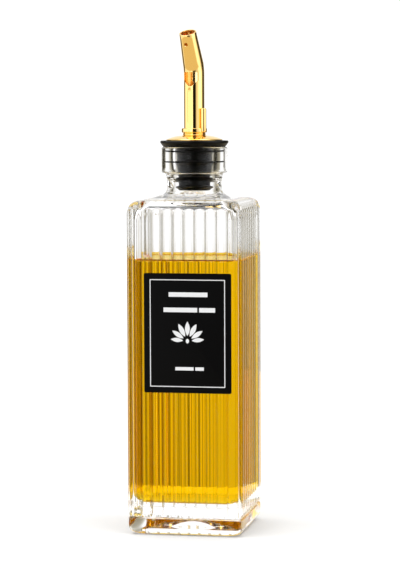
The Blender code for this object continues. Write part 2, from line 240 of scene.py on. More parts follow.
def new_piece(name: str, bm: bmesh.types.BMesh, material: bpy.types.Material | None = None,
              sharp: float = 40.0) -> bpy.types.Object:
    """Make a shaded object of a skin, with its faces outwards.

    Args:
        name: The object's name.
        bm: The skin, which is used up.
        material: Its finish, if it has one yet.
        sharp: Edges that bend by more degrees than this stay crisp.

    Returns:
        The object, at the origin.
    """
    bmesh.ops.recalc_face_normals(bm, faces=bm.faces)
    mesh = bpy.data.meshes.new(name)
    bm.to_mesh(mesh)
    bm.free()
    mesh.shade_smooth()
    mesh.set_sharp_from_angle(angle=math.radians(sharp))
    if material:
        mesh.materials.append(material)
    piece = bpy.data.objects.new(name, mesh)
    bpy.context.scene.collection.objects.link(piece)
    return piece


def bake_modifiers(piece: bpy.types.Object) -> None:
    """Turn what a piece's modifiers make into its plain mesh, and remove them.

    Args:
        piece: The object.
    """
    bpy.context.view_layer.update()
    finished = bpy.data.meshes.new_from_object(piece.evaluated_get(bpy.context.evaluated_depsgraph_get()))
    piece.modifiers.clear()
    old = piece.data
    piece.data = finished
    bpy.data.meshes.remove(old)
    finished.name = piece.name


def cut(target: bpy.types.Object, tools: Sequence[bpy.types.Object]) -> None:
    """Cut tools out of a piece, and remove the tools.

    Args:
        target: The piece.
        tools: Closed solids.
    """
    for tool in tools:
        boolean = target.modifiers.new(tool.name, "BOOLEAN")
        boolean.operation = "DIFFERENCE"
        boolean.solver = "EXACT"
        boolean.material_mode = "TRANSFER"
        boolean.object = tool
    bake_modifiers(target)
    for tool in tools:
        bpy.data.objects.remove(tool, do_unlink=True)


def put_on(piece: bpy.types.Object, slot: Slot, *nodes: str) -> None:
    """Let a finished piece ride on the dispenser, and say what it stands for.

    Args:
        piece: The piece, in place.
        slot: What it is made of.
        *nodes: The solids that it replaces.
    """
    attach(piece, BODY)
    if nodes:
        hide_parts(*nodes)
    stands_for = ", ".join(nodes) or "itself"
    LOG.info("%s: %d faces, %s, stands for %s", piece.name, len(piece.data.polygons), slot.value, stands_for)


def fill_ramp(ramp: bpy.types.Node, stops: Sequence[Point]) -> None:
    """Set a colour ramp's tones: white where it is full, warmer where it is dim.

    Args:
        ramp: The node.
        stops: (place, level) from the first to the last.
    """
    elements = ramp.color_ramp.elements
    while len(elements) > 1:
        elements.remove(elements[-1])
    elements[0].position = stops[0][0]
    for index, (position, level) in enumerate(stops):
        element = elements[0] if index == 0 else elements.new(position)
        dim = max(1.0 - level, 0.0)
        green, blue = level * (1.0 - DIM_GREEN_LOSS * dim), level * (1.0 - DIM_BLUE_LOSS * dim)
        element.color = (level, green, blue, 1.0)


class RuleTree:
    """A Geometry Nodes tree with named inputs, built step by step."""

    def __init__(self, name: str, sizes: dict[str, float]) -> None:
        """Start the tree.

        Args:
            name: The tree's name.
            sizes: Its inputs and their values.
        """
        self.tree = bpy.data.node_groups.new(name, "GeometryNodeTree")
        self.sizes = sizes
        face = self.tree.interface
        face.new_socket("Geometry", in_out="OUTPUT", socket_type="NodeSocketGeometry")
        face.new_socket("Geometry", in_out="INPUT", socket_type="NodeSocketGeometry")
        self.names = {size: face.new_socket(size, in_out="INPUT", socket_type="NodeSocketFloat").identifier
                      for size in sizes}
        self.start = self.tree.nodes.new("NodeGroupInput")

    def size(self, name: str) -> bpy.types.NodeSocket:
        """Read a named input.

        Args:
            name: The input's name.

        Returns:
            The socket that carries it.
        """
        return self.start.outputs[name]

    def node(self, kind: str, sockets: dict | None = None, **settings) -> bpy.types.Node:
        """Add a node to the tree.

        Args:
            kind: The node's type name.
            sockets: A value or an output socket for each input, by name or index.
            **settings: Properties of the node itself.

        Returns:
            The new node.
        """
        return add_node(self.tree, kind, sockets, **settings)

    def math(self, operation: str, *values) -> bpy.types.NodeSocket:
        """Work out a value with a Math node.

        Args:
            operation: The node's operation.
            *values: Its inputs, each a number or a socket.

        Returns:
            The output socket.
        """
        return self.node("ShaderNodeMath", dict(enumerate(values)), operation=operation).outputs[0]

    def attribute(self, name: str, kind: str) -> bpy.types.NodeSocket:
        """Read a named attribute of the mesh.

        Args:
            name: The attribute's name.
            kind: Its data type.

        Returns:
            The output socket.
        """
        read = self.node("GeometryNodeInputNamedAttribute", {"Name": name}, data_type=kind)
        return read.outputs["Attribute"]

    def vector(self, **parts) -> bpy.types.NodeSocket:
        """Combine parts into a vector.

        Args:
            **parts: X, Y and Z, each a number or a socket. A part that is left out is 0.

        Returns:
            The output socket.
        """
        return self.node("ShaderNodeCombineXYZ", parts).outputs[0]

    def position(self) -> tuple[bpy.types.NodeSocket, bpy.types.NodeSocket, bpy.types.NodeSocket]:
        """Read where each point lies.

        Returns:
            The output sockets of X, Y and Z.
        """
        place = self.node("GeometryNodeInputPosition").outputs[0]
        x, y, z = self.node("ShaderNodeSeparateXYZ", {"Vector": place}).outputs
        return x, y, z

    def finish(self, geometry: bpy.types.NodeSocket, material: bpy.types.Material) -> None:
        """End the tree in Realize Instances and Set Material.

        Args:
            geometry: What the tree makes.
            material: The finish that it gets.
        """
        real = self.node("GeometryNodeRealizeInstances", {"Geometry": geometry})
        dressed = self.node("GeometryNodeSetMaterial", {"Geometry": real.outputs[0], "Material": material})
        self.node("NodeGroupOutput", {"Geometry": dressed.outputs[0]})

    def apply(self, piece: bpy.types.Object) -> None:
        """Run the tree on a piece and keep the result as its plain mesh.

        Args:
            piece: The object.
        """
        modifier = piece.modifiers.new(self.tree.name, "NODES")
        modifier.node_group = self.tree
        for name, identifier in self.names.items():
            modifier[identifier] = self.sizes[name]
        bake_modifiers(piece)

    def make_piece(self, name: str, sharp: float = 40.0) -> bpy.types.Object:
        """Run the tree by itself and keep what it makes as a piece.

        Args:
            name: The piece's name.
            sharp: Edges that bend by more degrees than this stay crisp.

        Returns:
            The piece.
        """
        piece = new_piece(name, bmesh.new())
        self.apply(piece)
        piece.data.shade_smooth()
        piece.data.set_sharp_from_angle(angle=math.radians(sharp))
        return piece


# ---------------------------------------------------------------- finishes


def blank_material(name: str) -> Blank:
    """Make a material with a bare Principled shader.

    Args:
        name: The material's name.

    Returns:
        The material, its tree, the shader and the output node.
    """
    material = bpy.data.materials.new(name)
    material.use_nodes = True
    tree = material.node_tree
    return material, tree, tree.nodes["Principled BSDF"], tree.nodes["Material Output"]


def add_noise(tree: bpy.types.NodeTree, size: float, detail: float = 2.0) -> bpy.types.NodeSocket:
    """Add a noise that is fixed to the piece.

    Args:
        tree: The shader's tree.
        size: The width of its patches.
        detail: How many finer layers it has.

    Returns:
        The noise's value.
    """
    place = add_node(tree, "ShaderNodeTexCoord").outputs["Object"]
    noise = add_node(tree, "ShaderNodeTexNoise", {"Vector": place, "Scale": 1 / size, "Detail": detail})
    return noise.outputs[0]


def vary_roughness(tree: bpy.types.NodeTree, shader: bpy.types.Node, noise: bpy.types.NodeSocket,
                   roughness: tuple[float, float]) -> None:
    """Let a noise move a shader's roughness.

    Args:
        tree: The shader's tree.
        shader: The Principled shader.
        noise: The noise's value.
        roughness: What it is where the noise is low, and where it is high.
    """
    span = add_node(tree, "ShaderNodeMapRange", {
        "Value": noise, "From Min": NOISE_LOW, "From Max": NOISE_HIGH, "To Min": roughness[0],
        "To Max": roughness[1]})
    tree.links.new(span.outputs[0], shader.inputs["Roughness"])


def add_bump(tree: bpy.types.NodeTree, shader: bpy.types.Node, noise: bpy.types.NodeSocket,
             strength: float, depth: float) -> None:
    """Let a noise dent a shader's surface.

    Args:
        tree: The shader's tree.
        shader: The Principled shader.
        noise: The noise's value.
        strength: The share of the dents that shows.
        depth: How deep they are.
    """
    bump = add_node(tree, "ShaderNodeBump", {"Height": noise, "Strength": strength, "Distance": depth})
    tree.links.new(bump.outputs[0], shader.inputs["Normal"])


def blend_colours(tree: bpy.types.NodeTree, shader: bpy.types.Node, noise: bpy.types.NodeSocket,
                  one: str, other: str) -> None:
    """Let a noise blend a shader's base colour.

    Args:
        tree: The shader's tree.
        shader: The Principled shader.
        noise: The noise's value.
        one: The colour where the noise is low.
        other: The colour where it is high.
    """
    shade = add_node(tree, "ShaderNodeMix", {"Factor": noise, "A": srgb(one), "B": srgb(other)},
                     data_type="RGBA")
    tree.links.new(shade.outputs["Result"], shader.inputs["Base Color"])


@dataclass(frozen=True)
class FlintGlass:
    """Clear soda-lime glass, pressed and fire-polished. Where oil wets it, it mirrors next to nothing."""

    ior: float = 1.52
    face_on_mirror: float = 0.06  # share of its face-on reflections that a polarising filter leaves

    def make(self, wetted: bool = False) -> bpy.types.Material:
        """Build the material.

        Args:
            wetted: Whether oil lies against this face of the glass.

        Returns:
            The material.
        """
        material, _, shader, _ = blank_material("flint_glass_wetted" if wetted else "flint_glass_pressed")
        shader.inputs["Base Color"].default_value = srgb("#FFFFFF")
        shader.inputs["Roughness"].default_value = 0.0
        shader.inputs["IOR"].default_value = self.ior
        shader.inputs["Transmission Weight"].default_value = 1.0
        mirror = 0.0 if wetted else self.face_on_mirror
        shader.inputs["Specular Tint"].default_value = (mirror, mirror, mirror, 1.0)
        return material


@dataclass(frozen=True)
class OliveOil:
    """Refined olive oil: clear and golden, its colour shared between its skin and its depth."""

    ior: float = 1.47
    skin_colour: tuple[float, float, float] = (1.0, 0.765, 0.045)
    depth_colour: tuple[float, float, float] = (0.968, 0.907, 0.30)
    depth_density: float = 95.0  # per metre of oil
    sheet_colour: tuple[float, float, float] = (0.80, 0.59, 0.10)  # of the level surface, nearly edge-on
    sheet_share: float = 0.8  # how much of the level surface's look is this golden mirror
    sheet_tolerance: float = 0.05 * MM  # what lies this near to the level counts as the level surface

    def make(self, level: float) -> bpy.types.Material:
        """Build the material.

        Args:
            level: The height of the oil's level surface.

        Returns:
            The material.
        """
        material, tree, shader, output = blank_material("olive_oil_golden")
        shader.inputs["Base Color"].default_value = (*self.skin_colour, 1.0)
        shader.inputs["Roughness"].default_value = 0.0
        shader.inputs["IOR"].default_value = self.ior
        shader.inputs["Specular Tint"].default_value = (0.0, 0.0, 0.0, 1.0)
        shader.inputs["Transmission Weight"].default_value = 1.0
        depth = add_node(tree, "ShaderNodeVolumeAbsorption", {"Color": (*self.depth_colour, 1.0),
                                                             "Density": self.depth_density})
        tree.links.new(depth.outputs[0], output.inputs["Volume"])
        place = add_node(tree, "ShaderNodeNewGeometry")
        height = add_node(tree, "ShaderNodeSeparateXYZ", {"Vector": place.outputs["Position"]})
        on_top = add_node(tree, "ShaderNodeMath", {0: height.outputs["Z"], 1: level,
                                                  2: self.sheet_tolerance}, operation="COMPARE")
        share = add_node(tree, "ShaderNodeMath", {0: on_top.outputs[0], 1: self.sheet_share},
                         operation="MULTIPLY")
        sheet = add_node(tree, "ShaderNodeBsdfAnisotropic", {"Color": (*self.sheet_colour, 1.0),
                                                            "Roughness": 0.0})
        surface = add_node(tree, "ShaderNodeMixShader", {0: share.outputs[0], 1: shader.outputs[0],
                                                        2: sheet.outputs[0]})
        tree.links.new(surface.outputs[0], output.inputs["Surface"])
        return material


@dataclass(frozen=True)
class BlackRubber:
    """Moulded black rubber: nearly black with a soft satin bloom that breaks up over its faint grain."""

    colour: str = "#050506"
    ior: float = 1.52
    roughness: tuple[float, float] = (0.29, 0.42)
    specular: float = 0.12
    bloom: float = 1.5 * MM
    grain: float = 0.25 * MM

    def make(self) -> bpy.types.Material:
        """Build the material."""
        material, tree, shader, _ = blank_material("rubber_moulded_black")
        shader.inputs["Base Color"].default_value = srgb(self.colour)
        shader.inputs["IOR"].default_value = self.ior
        shader.inputs["Specular IOR Level"].default_value = self.specular
        vary_roughness(tree, shader, add_noise(tree, self.bloom, detail=4.0), self.roughness)
        add_bump(tree, shader, add_noise(tree, self.grain), strength=0.15, depth=0.02 * MM)
        return material


@dataclass(frozen=True)
class GoldPlate:
    """Steel with a polished gold-coloured plating: a warm mirror, softened by faint polishing waves."""

    colour: str = "#FFD88A"
    roughness: tuple[float, float] = (0.05, 0.10)
    # painted light: the inside gets a paler gold than the plating, which lifts the shade in the bore and the
    # reddening of light bounced about inside it
    inside_colour_painted_paler: str = "#F9DBA0"
    inside_roughness: float = 0.16
    wave: float = 4.0 * MM

    def make_inside(self) -> bpy.types.Material:
        """Build the finish of the tube's inside: painted paler than the plating to lift the shade in the
        bore, and less polished.
        """
        material, _, shader, _ = blank_material("gold_inside_painted_paler")
        # painted light: this paler gold brightens the shaded inside of the tube
        shader.inputs["Base Color"].default_value = srgb(self.inside_colour_painted_paler)
        shader.inputs["Metallic"].default_value = 1.0
        shader.inputs["Roughness"].default_value = self.inside_roughness
        return material

    def make(self) -> bpy.types.Material:
        """Build the outer material."""
        material, tree, shader, _ = blank_material("steel_gold_plated")
        shader.inputs["Base Color"].default_value = srgb(self.colour)
        shader.inputs["Metallic"].default_value = 1.0
        smear = add_noise(tree, self.wave, detail=5.0)
        vary_roughness(tree, shader, smear, self.roughness)
        add_bump(tree, shader, smear, strength=0.1, depth=0.03 * MM)
        return material


@dataclass(frozen=True)
class BlackCard:
    """Coated black label card: matt, with the paper's fibres just felt under the coat."""

    colour: str = "#040405"
    worn: str = "#070708"
    roughness: float = 0.5
    specular: float = 0.05
    fibre: float = 0.4 * MM

    def make(self) -> bpy.types.Material:
        """Build the material."""
        material, tree, shader, _ = blank_material("card_coated_black")
        fibres = add_noise(tree, self.fibre, detail=3.0)
        blend_colours(tree, shader, fibres, self.colour, self.worn)
        add_bump(tree, shader, fibres, strength=0.2, depth=0.02 * MM)
        shader.inputs["Roughness"].default_value = self.roughness
        shader.inputs["Specular IOR Level"].default_value = self.specular
        return material


@dataclass(frozen=True)
class PaleInk:
    """Silver-white screen ink: flat and slightly uneven in cover."""

    colour: str = "#F0F3FA"
    thin: str = "#E2E6EE"
    roughness: float = 0.6
    patch: float = 0.6 * MM

    def make(self) -> bpy.types.Material:
        """Build the material."""
        material, tree, shader, _ = blank_material("ink_screen_pale")
        blend_colours(tree, shader, add_noise(tree, self.patch), self.colour, self.thin)
        shader.inputs["Roughness"].default_value = self.roughness
        return material


# ---------------------------------------------------------------- glass and oil


@dataclass
class Cavity:
    """The room inside the bottle, from its rounded floor to the mouth."""

    half: float = 26.5 * MM
    corner: float = 3.0 * MM
    floor_z: float = 16.2 * MM
    floor_rounding: float = 4.6 * MM
    shoulder_z: float = 161.0 * MM
    top_z: float = 172.4 * MM
    neck_radius: float = 11.3 * MM
    neck_z: float = 174.6 * MM
    collar_z: float = 184.3 * MM
    mouth_radius: float = 10.1 * MM

    def __post_init__(self) -> None:
        """Take the oil's level from the frame."""
        self.oil_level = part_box("oil")[1].z

    def side_sections(self) -> list[tuple[float, float, float]]:
        """Sections (half-width, corner radius, height) from the floor's edge to the shoulder's start."""
        middle = (self.floor_rounding, self.floor_z + self.floor_rounding)
        sections = [(self.half - inset, self.corner, z)
                    for inset, z in arc(middle, self.floor_rounding, 270, 180, 8)]
        sections.append((self.half, self.corner, self.oil_level))
        sections.append((self.half, self.corner, self.shoulder_z))
        return sections

    def shoulder_sections(self) -> list[tuple[float, float, float]]:
        """Sections from the shoulder up into the round neck, as far as the collar."""
        guide = [
            (self.half, self.shoulder_z),
            (self.half - 1.0 * MM, self.shoulder_z + 5.0 * MM),
            (self.half - 5.0 * MM, self.shoulder_z + 7.8 * MM),
            (self.neck_radius + 2.2 * MM, self.top_z - 1.0 * MM),
            (self.neck_radius, self.neck_z),
        ]
        sections = []
        for half, z in smooth_path(guide, 5)[1:]:
            share = (self.half - half) / (self.half - self.neck_radius)
            corner = self.corner + (self.neck_radius - self.corner) * share ** 0.8
            sections.append((half, min(corner, half), z))
        return sections


@dataclass
class RibbedBottle:
    """The pressed glass bottle: square and ribbed on all sides, with a round neck and a thick collar."""

    rib_depth: float = 0.8 * MM
    rib_pitch: float = 5.5 * MM
    rib_fullness: float = 4.5  # exponent of the ribs' arch: 2 is round, more is flatter with steeper flanks
    ribs_per_side: int = 10
    rib_steps: int = 18
    rib_crowding: float = 1.6  # how strongly the lines of points crowd towards the grooves: 1 is not at all
    corner_steps: int = 12
    bend_steps: int = 8
    slope_steps: int = 10
    corner: float = 1.15 * MM
    rib_foot_z: float = 12.0 * MM
    rib_head_z: float = 164.0 * MM
    foot_relief: float = 0.6 * MM
    foot_band_z: float = 8.7 * MM
    foot_band_edge: float = 0.35 * MM
    foot_inset: float = 4.2 * MM
    foot_height: float = 4.6 * MM
    punt_radius: float = 17.0 * MM
    punt_depth: float = 2.6 * MM
    shoulder_top_z: float = 173.6 * MM
    shoulder_edge_z: float = 171.0 * MM
    shoulder_edge_inset: float = 5.2 * MM
    slope_bend: float = 1.6  # how strongly the shoulder's slope steepens towards the neck: 1 is straight
    neck_radius: float = 14.1 * MM
    flare_radius: float = 15.5 * MM
    collar_radius: float = 17.1 * MM
    collar_edge: float = 0.9 * MM
    mouth_edge: float = 0.6 * MM
    cavity: Cavity = field(default_factory=Cavity)

    def __post_init__(self) -> None:
        """Take the driving sizes from the frame."""
        low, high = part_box("bottle")
        self.width = high.x - low.x
        self.lip_z = high.z
        self.groove_half = self.width / 2 - self.rib_depth
        self.rib_half = self.rib_pitch / 2
        self.columns = self.body_columns()
        self.angles = [math.atan2(place.y, place.x) for place, _, _, _ in self.columns]

    def side_columns(self) -> list[tuple[Vector, Vector, float, float]]:
        """Upright lines of points on the side at +X and the corner after it.

        Returns:
            For each line its place, its outward direction, its distance from its rib's middle and that rib's
            half-width.
        """
        columns = []
        for rib in range(self.ribs_per_side):
            middle = (rib - (self.ribs_per_side - 1) / 2) * self.rib_pitch
            for step in range(self.rib_steps):
                share = 2 * step / self.rib_steps - 1
                crowded = 1 - (1 - abs(share)) ** self.rib_crowding
                offset = math.copysign(crowded, share) * self.rib_half
                place = Vector((self.groove_half, middle + offset))
                columns.append((place, Vector((1, 0)), offset, self.rib_half))
        centre = self.groove_half - self.corner
        flat = centre - self.ribs_per_side * self.rib_half
        half_length = flat + self.corner * math.pi / 4
        for step in range(self.corner_steps):
            offset = (2 * step / self.corner_steps - 1) * half_length
            turn = min(max((offset + half_length - flat) / self.corner, 0.0), math.pi / 2)
            outward = Vector((math.cos(turn), math.sin(turn)))
            place = Vector((centre, centre)) + outward * self.corner
            columns.append((place, outward, offset, half_length))
        return columns

    def body_columns(self) -> list[tuple[Vector, Vector, float, float]]:
        """The lines of all four sides, in order round the bottle."""
        columns = []
        for quarter in range(4):
            spin = Matrix.Rotation(quarter * math.pi / 2, 2)
            columns += [(spin @ p, spin @ out, offset, half) for p, out, offset, half in self.side_columns()]
        return columns

    def foot_rings(self) -> list[Ring]:
        """Rings of the hollow under the foot, the foot's face and its rounded band."""
        bulge = (self.punt_radius ** 2 - self.punt_depth ** 2) / (2 * self.punt_depth)
        sweep = math.degrees(math.atan2(bulge, self.punt_radius))
        dome = arc((0.0, -bulge), bulge + self.punt_depth, 90, sweep, 12)[1:]
        rings = [square_ring(self.angles, r, r, z) for r, z in dome]
        half, corner = self.groove_half + self.foot_relief, self.corner + self.foot_relief
        for step in range(self.bend_steps + 1):
            turn = math.pi / 2 * step / self.bend_steps
            inset = self.foot_inset * (1 - math.sin(turn))
            rise = self.foot_height * (1 - math.cos(turn))
            rings.append(square_ring(self.angles, half - inset, corner + inset, rise))
        edge = self.foot_band_edge
        for inset, z in arc((edge, self.foot_band_z - edge), edge, 180, 90, 3):
            rings.append(square_ring(self.angles, half - inset, corner - inset, z))
        return rings

    def body_rings(self) -> list[Ring]:
        """Level rings of the ribbed part, drawn at the bottom of the grooves."""
        rise = [math.sin(math.pi / 2 * step / self.bend_steps) for step in range(self.bend_steps + 1)]
        heights = [self.rib_foot_z - self.rib_half * share for share in reversed(rise)]
        heights += [self.rib_head_z + self.rib_half * share for share in rise]
        return [[Vector((p.x, p.y, z)) for p, _, _, _ in self.columns] for z in heights]

    def shoulder_rings(self) -> list[Ring]:
        """Rings from the shoulder's rounded edge over the slope to the foot of the neck."""
        rings = []
        start = self.rib_head_z + self.rib_half
        inset = self.shoulder_edge_inset
        rise = self.shoulder_edge_z - start
        for step in range(1, self.bend_steps + 1):
            turn = math.pi / 2 * step / self.bend_steps
            drawn = inset * (1 - math.cos(turn))
            rings.append(square_ring(self.angles, self.groove_half - drawn, self.corner + drawn,
                                     start + rise * math.sin(turn)))
        half, corner = self.groove_half - inset, self.corner + inset
        climb = self.shoulder_top_z - self.shoulder_edge_z
        for step in range(1, self.slope_steps + 1):
            share = step / self.slope_steps
            z = self.shoulder_edge_z + climb * share ** self.slope_bend
            rings.append(square_ring(self.angles, half + (self.flare_radius - half) * share,
                                     corner + (self.flare_radius - corner) * share, z))
        return rings

    def neck_rings(self) -> list[Ring]:
        """Rings of the waisted neck, the collar, the lip and the mouth's rounded edge."""
        neck, top, collar = self.neck_radius, self.shoulder_top_z, self.cavity.collar_z
        waist = [(self.flare_radius, top), (neck + 0.3 * MM, top + 1.8 * MM), (neck, top + 4.2 * MM),
                 (neck + 0.4 * MM, collar - 2.0 * MM), (neck + 1.0 * MM, collar - 0.35 * MM)]
        outline = smooth_path(waist, 5)[1:]
        outline.append((neck + 1.4 * MM, collar))
        edge, side = self.collar_edge, self.collar_radius - self.collar_edge
        outline += arc((side, collar + edge), edge, -90, 0, 6)
        outline += arc((side, self.lip_z - edge), edge, 0, 90, 6)
        inner = self.cavity.mouth_radius + self.mouth_edge
        outline += arc((inner, self.lip_z - self.mouth_edge), self.mouth_edge, 90, 180, 5)
        return [square_ring(self.angles, r, r, z) for r, z in outline]

    def cavity_rings(self) -> list[Ring]:
        """Rings down the bore, the inner shoulder and the cavity's sides to its floor."""
        cavity = self.cavity
        bore = [(cavity.mouth_radius, cavity.collar_z + 3.0 * MM),
                (cavity.neck_radius - 0.5 * MM, cavity.collar_z + 1.2 * MM),
                (cavity.neck_radius, cavity.collar_z - 0.5 * MM)]
        sections = [(radius, radius, z) for radius, z in bore]
        sections += reversed(cavity.shoulder_sections())
        sections += reversed(cavity.side_sections())
        half = cavity.half - cavity.floor_rounding
        sections += [(half * share, cavity.corner * share, cavity.floor_z) for share in (0.8, 0.5, 0.2)]
        return [square_ring(self.angles, half, corner, z) for half, corner, z in sections]

    def rib_rule(self, material: bpy.types.Material) -> RuleTree:
        """The rule that raises the ribs: arched bars whose two ends are domed.

        Args:
            material: The glass.

        Returns:
            The tree, ready to apply.
        """
        rule = RuleTree("raised_ribs", {"Rib Depth": self.rib_depth, "Rib Half Width": self.rib_half,
                                        "Fullness": self.rib_fullness, "Foot Height": self.rib_foot_z,
                                        "Head Height": self.rib_head_z})
        _, _, height = rule.position()
        below = rule.math("SUBTRACT", rule.size("Foot Height"), height)
        above = rule.math("SUBTRACT", height, rule.size("Head Height"))
        past_end = rule.math("MAXIMUM", rule.math("MAXIMUM", below, above), 0.0)
        along = rule.math("DIVIDE", past_end, rule.size("Rib Half Width"))
        offset, half = rule.attribute("rib_offset", "FLOAT"), rule.attribute("rib_half", "FLOAT")
        across = rule.math("DIVIDE", offset, half)
        fall = rule.math("POWER", rule.math("ABSOLUTE", across), rule.size("Fullness"))
        fall = rule.math("ADD", rule.math("MULTIPLY", along, along), fall)
        rise = rule.math("MAXIMUM", rule.math("SUBTRACT", 1.0, fall), 0.0)
        relief = rule.math("MULTIPLY", rise, rule.size("Rib Depth"))
        outward = rule.attribute("rib_outward", "FLOAT_VECTOR")
        shift = rule.node("ShaderNodeVectorMath", {0: outward, "Scale": relief}, operation="SCALE")
        moved = rule.node("GeometryNodeSetPosition", {"Geometry": rule.start.outputs["Geometry"],
                                                      "Offset": shift.outputs[0]})
        rule.finish(moved.outputs[0], material)
        return rule

    def wet(self, bottle: bpy.types.Object, material: bpy.types.Material) -> None:
        """Give the inside below the oil's level its own finish.

        Args:
            bottle: The bottle.
            material: The wetted glass.
        """
        bottle.data.materials.append(material)
        hair = 0.01 * MM
        reach, floor = self.cavity.half + hair, self.cavity.floor_z - hair
        for face in bottle.data.polygons:
            x, y, z = face.center
            if max(abs(x), abs(y)) < reach and floor < z < self.cavity.oil_level:
                face.material_index = 1

    def build(self, material: bpy.types.Material, wetted: bpy.types.Material) -> bpy.types.Object:
        """Make the bottle.

        Args:
            material: The glass.
            wetted: The glass where oil lies against it.

        Returns:
            The bottle as one closed piece.
        """
        foot, body = self.foot_rings(), self.body_rings()
        rings = [*foot, *body, *self.shoulder_rings(), *self.neck_rings(), *self.cavity_rings()]
        poles = (Vector((0, 0, self.punt_depth)), Vector((0, 0, self.cavity.floor_z)))
        bottle = new_piece("glass_bottle", loft(rings, poles), material, sharp=50.0)
        count = len(self.columns)
        first, last = len(foot) * count, (len(foot) + len(body)) * count
        offsets, halves, outwards = [], [], []
        for index in range(len(bottle.data.vertices)):
            _, outward, offset, half = self.columns[index % count]
            ribbed = first <= index < last
            offsets.append(offset)
            halves.append(half)
            outwards += [outward.x, outward.y, 0.0] if ribbed else [0.0, 0.0, 0.0]
        attributes = bottle.data.attributes
        attributes.new("rib_offset", "FLOAT", "POINT").data.foreach_set("value", offsets)
        attributes.new("rib_half", "FLOAT", "POINT").data.foreach_set("value", halves)
        attributes.new("rib_outward", "FLOAT_VECTOR", "POINT").data.foreach_set("vector", outwards)
        self.rib_rule(material).apply(bottle)
        self.wet(bottle, wetted)
        return bottle


@dataclass
class OilFill:
    """The oil: it fills the cavity to its level and wets the wall with a low meniscus."""

    cavity: Cavity
    into_wall: float = 0.1 * MM
    meniscus: float = 0.9 * MM
    meniscus_width: float = 2.2 * MM
    steps_per_corner: int = 16
    steps_per_side: int = 24

    def build(self, material: bpy.types.Material) -> bpy.types.Object:
        """Make the oil.

        Args:
            material: The oil's look.

        Returns:
            The oil as one closed piece.
        """
        cavity, level = self.cavity, self.cavity.oil_level
        edge = math.atan2(cavity.half - cavity.corner, cavity.half)
        turn = math.pi / 2 - 2 * edge
        side, bend = self.steps_per_side, self.steps_per_corner
        angles = []
        for quarter in range(4):
            middle = quarter * math.pi / 2
            angles += [middle + edge * (2 * i / side - 1) for i in range(side)]
            angles += [middle + edge + turn * i / bend for i in range(bend)]
        gap = self.into_wall
        floor_half = cavity.half - cavity.floor_rounding
        sections = [(floor_half * s, cavity.corner * s, cavity.floor_z - gap) for s in (0.3, 0.7)]
        sections += [(half + gap, corner + gap, z - gap) for half, corner, z in cavity.side_sections()[:-2]]
        sections.append((cavity.half + gap, cavity.corner + gap, level + self.meniscus))
        for share in (0.0, 0.15, 0.3, 0.5, 0.75, 1.0):
            inset = self.meniscus_width * share
            sections.append((cavity.half - inset, cavity.corner, level + self.meniscus * (1 - share) ** 3))
        sections += [(floor_half * s, cavity.corner * s, level) for s in (0.7, 0.3)]
        rings = [square_ring(angles, half, corner, z) for half, corner, z in sections]
        poles = (Vector((0, 0, cavity.floor_z - gap)), Vector((0, 0, level)))
        return new_piece("oil_fill", loft(rings, poles), material, sharp=50.0)


# ---------------------------------------------------------------- label


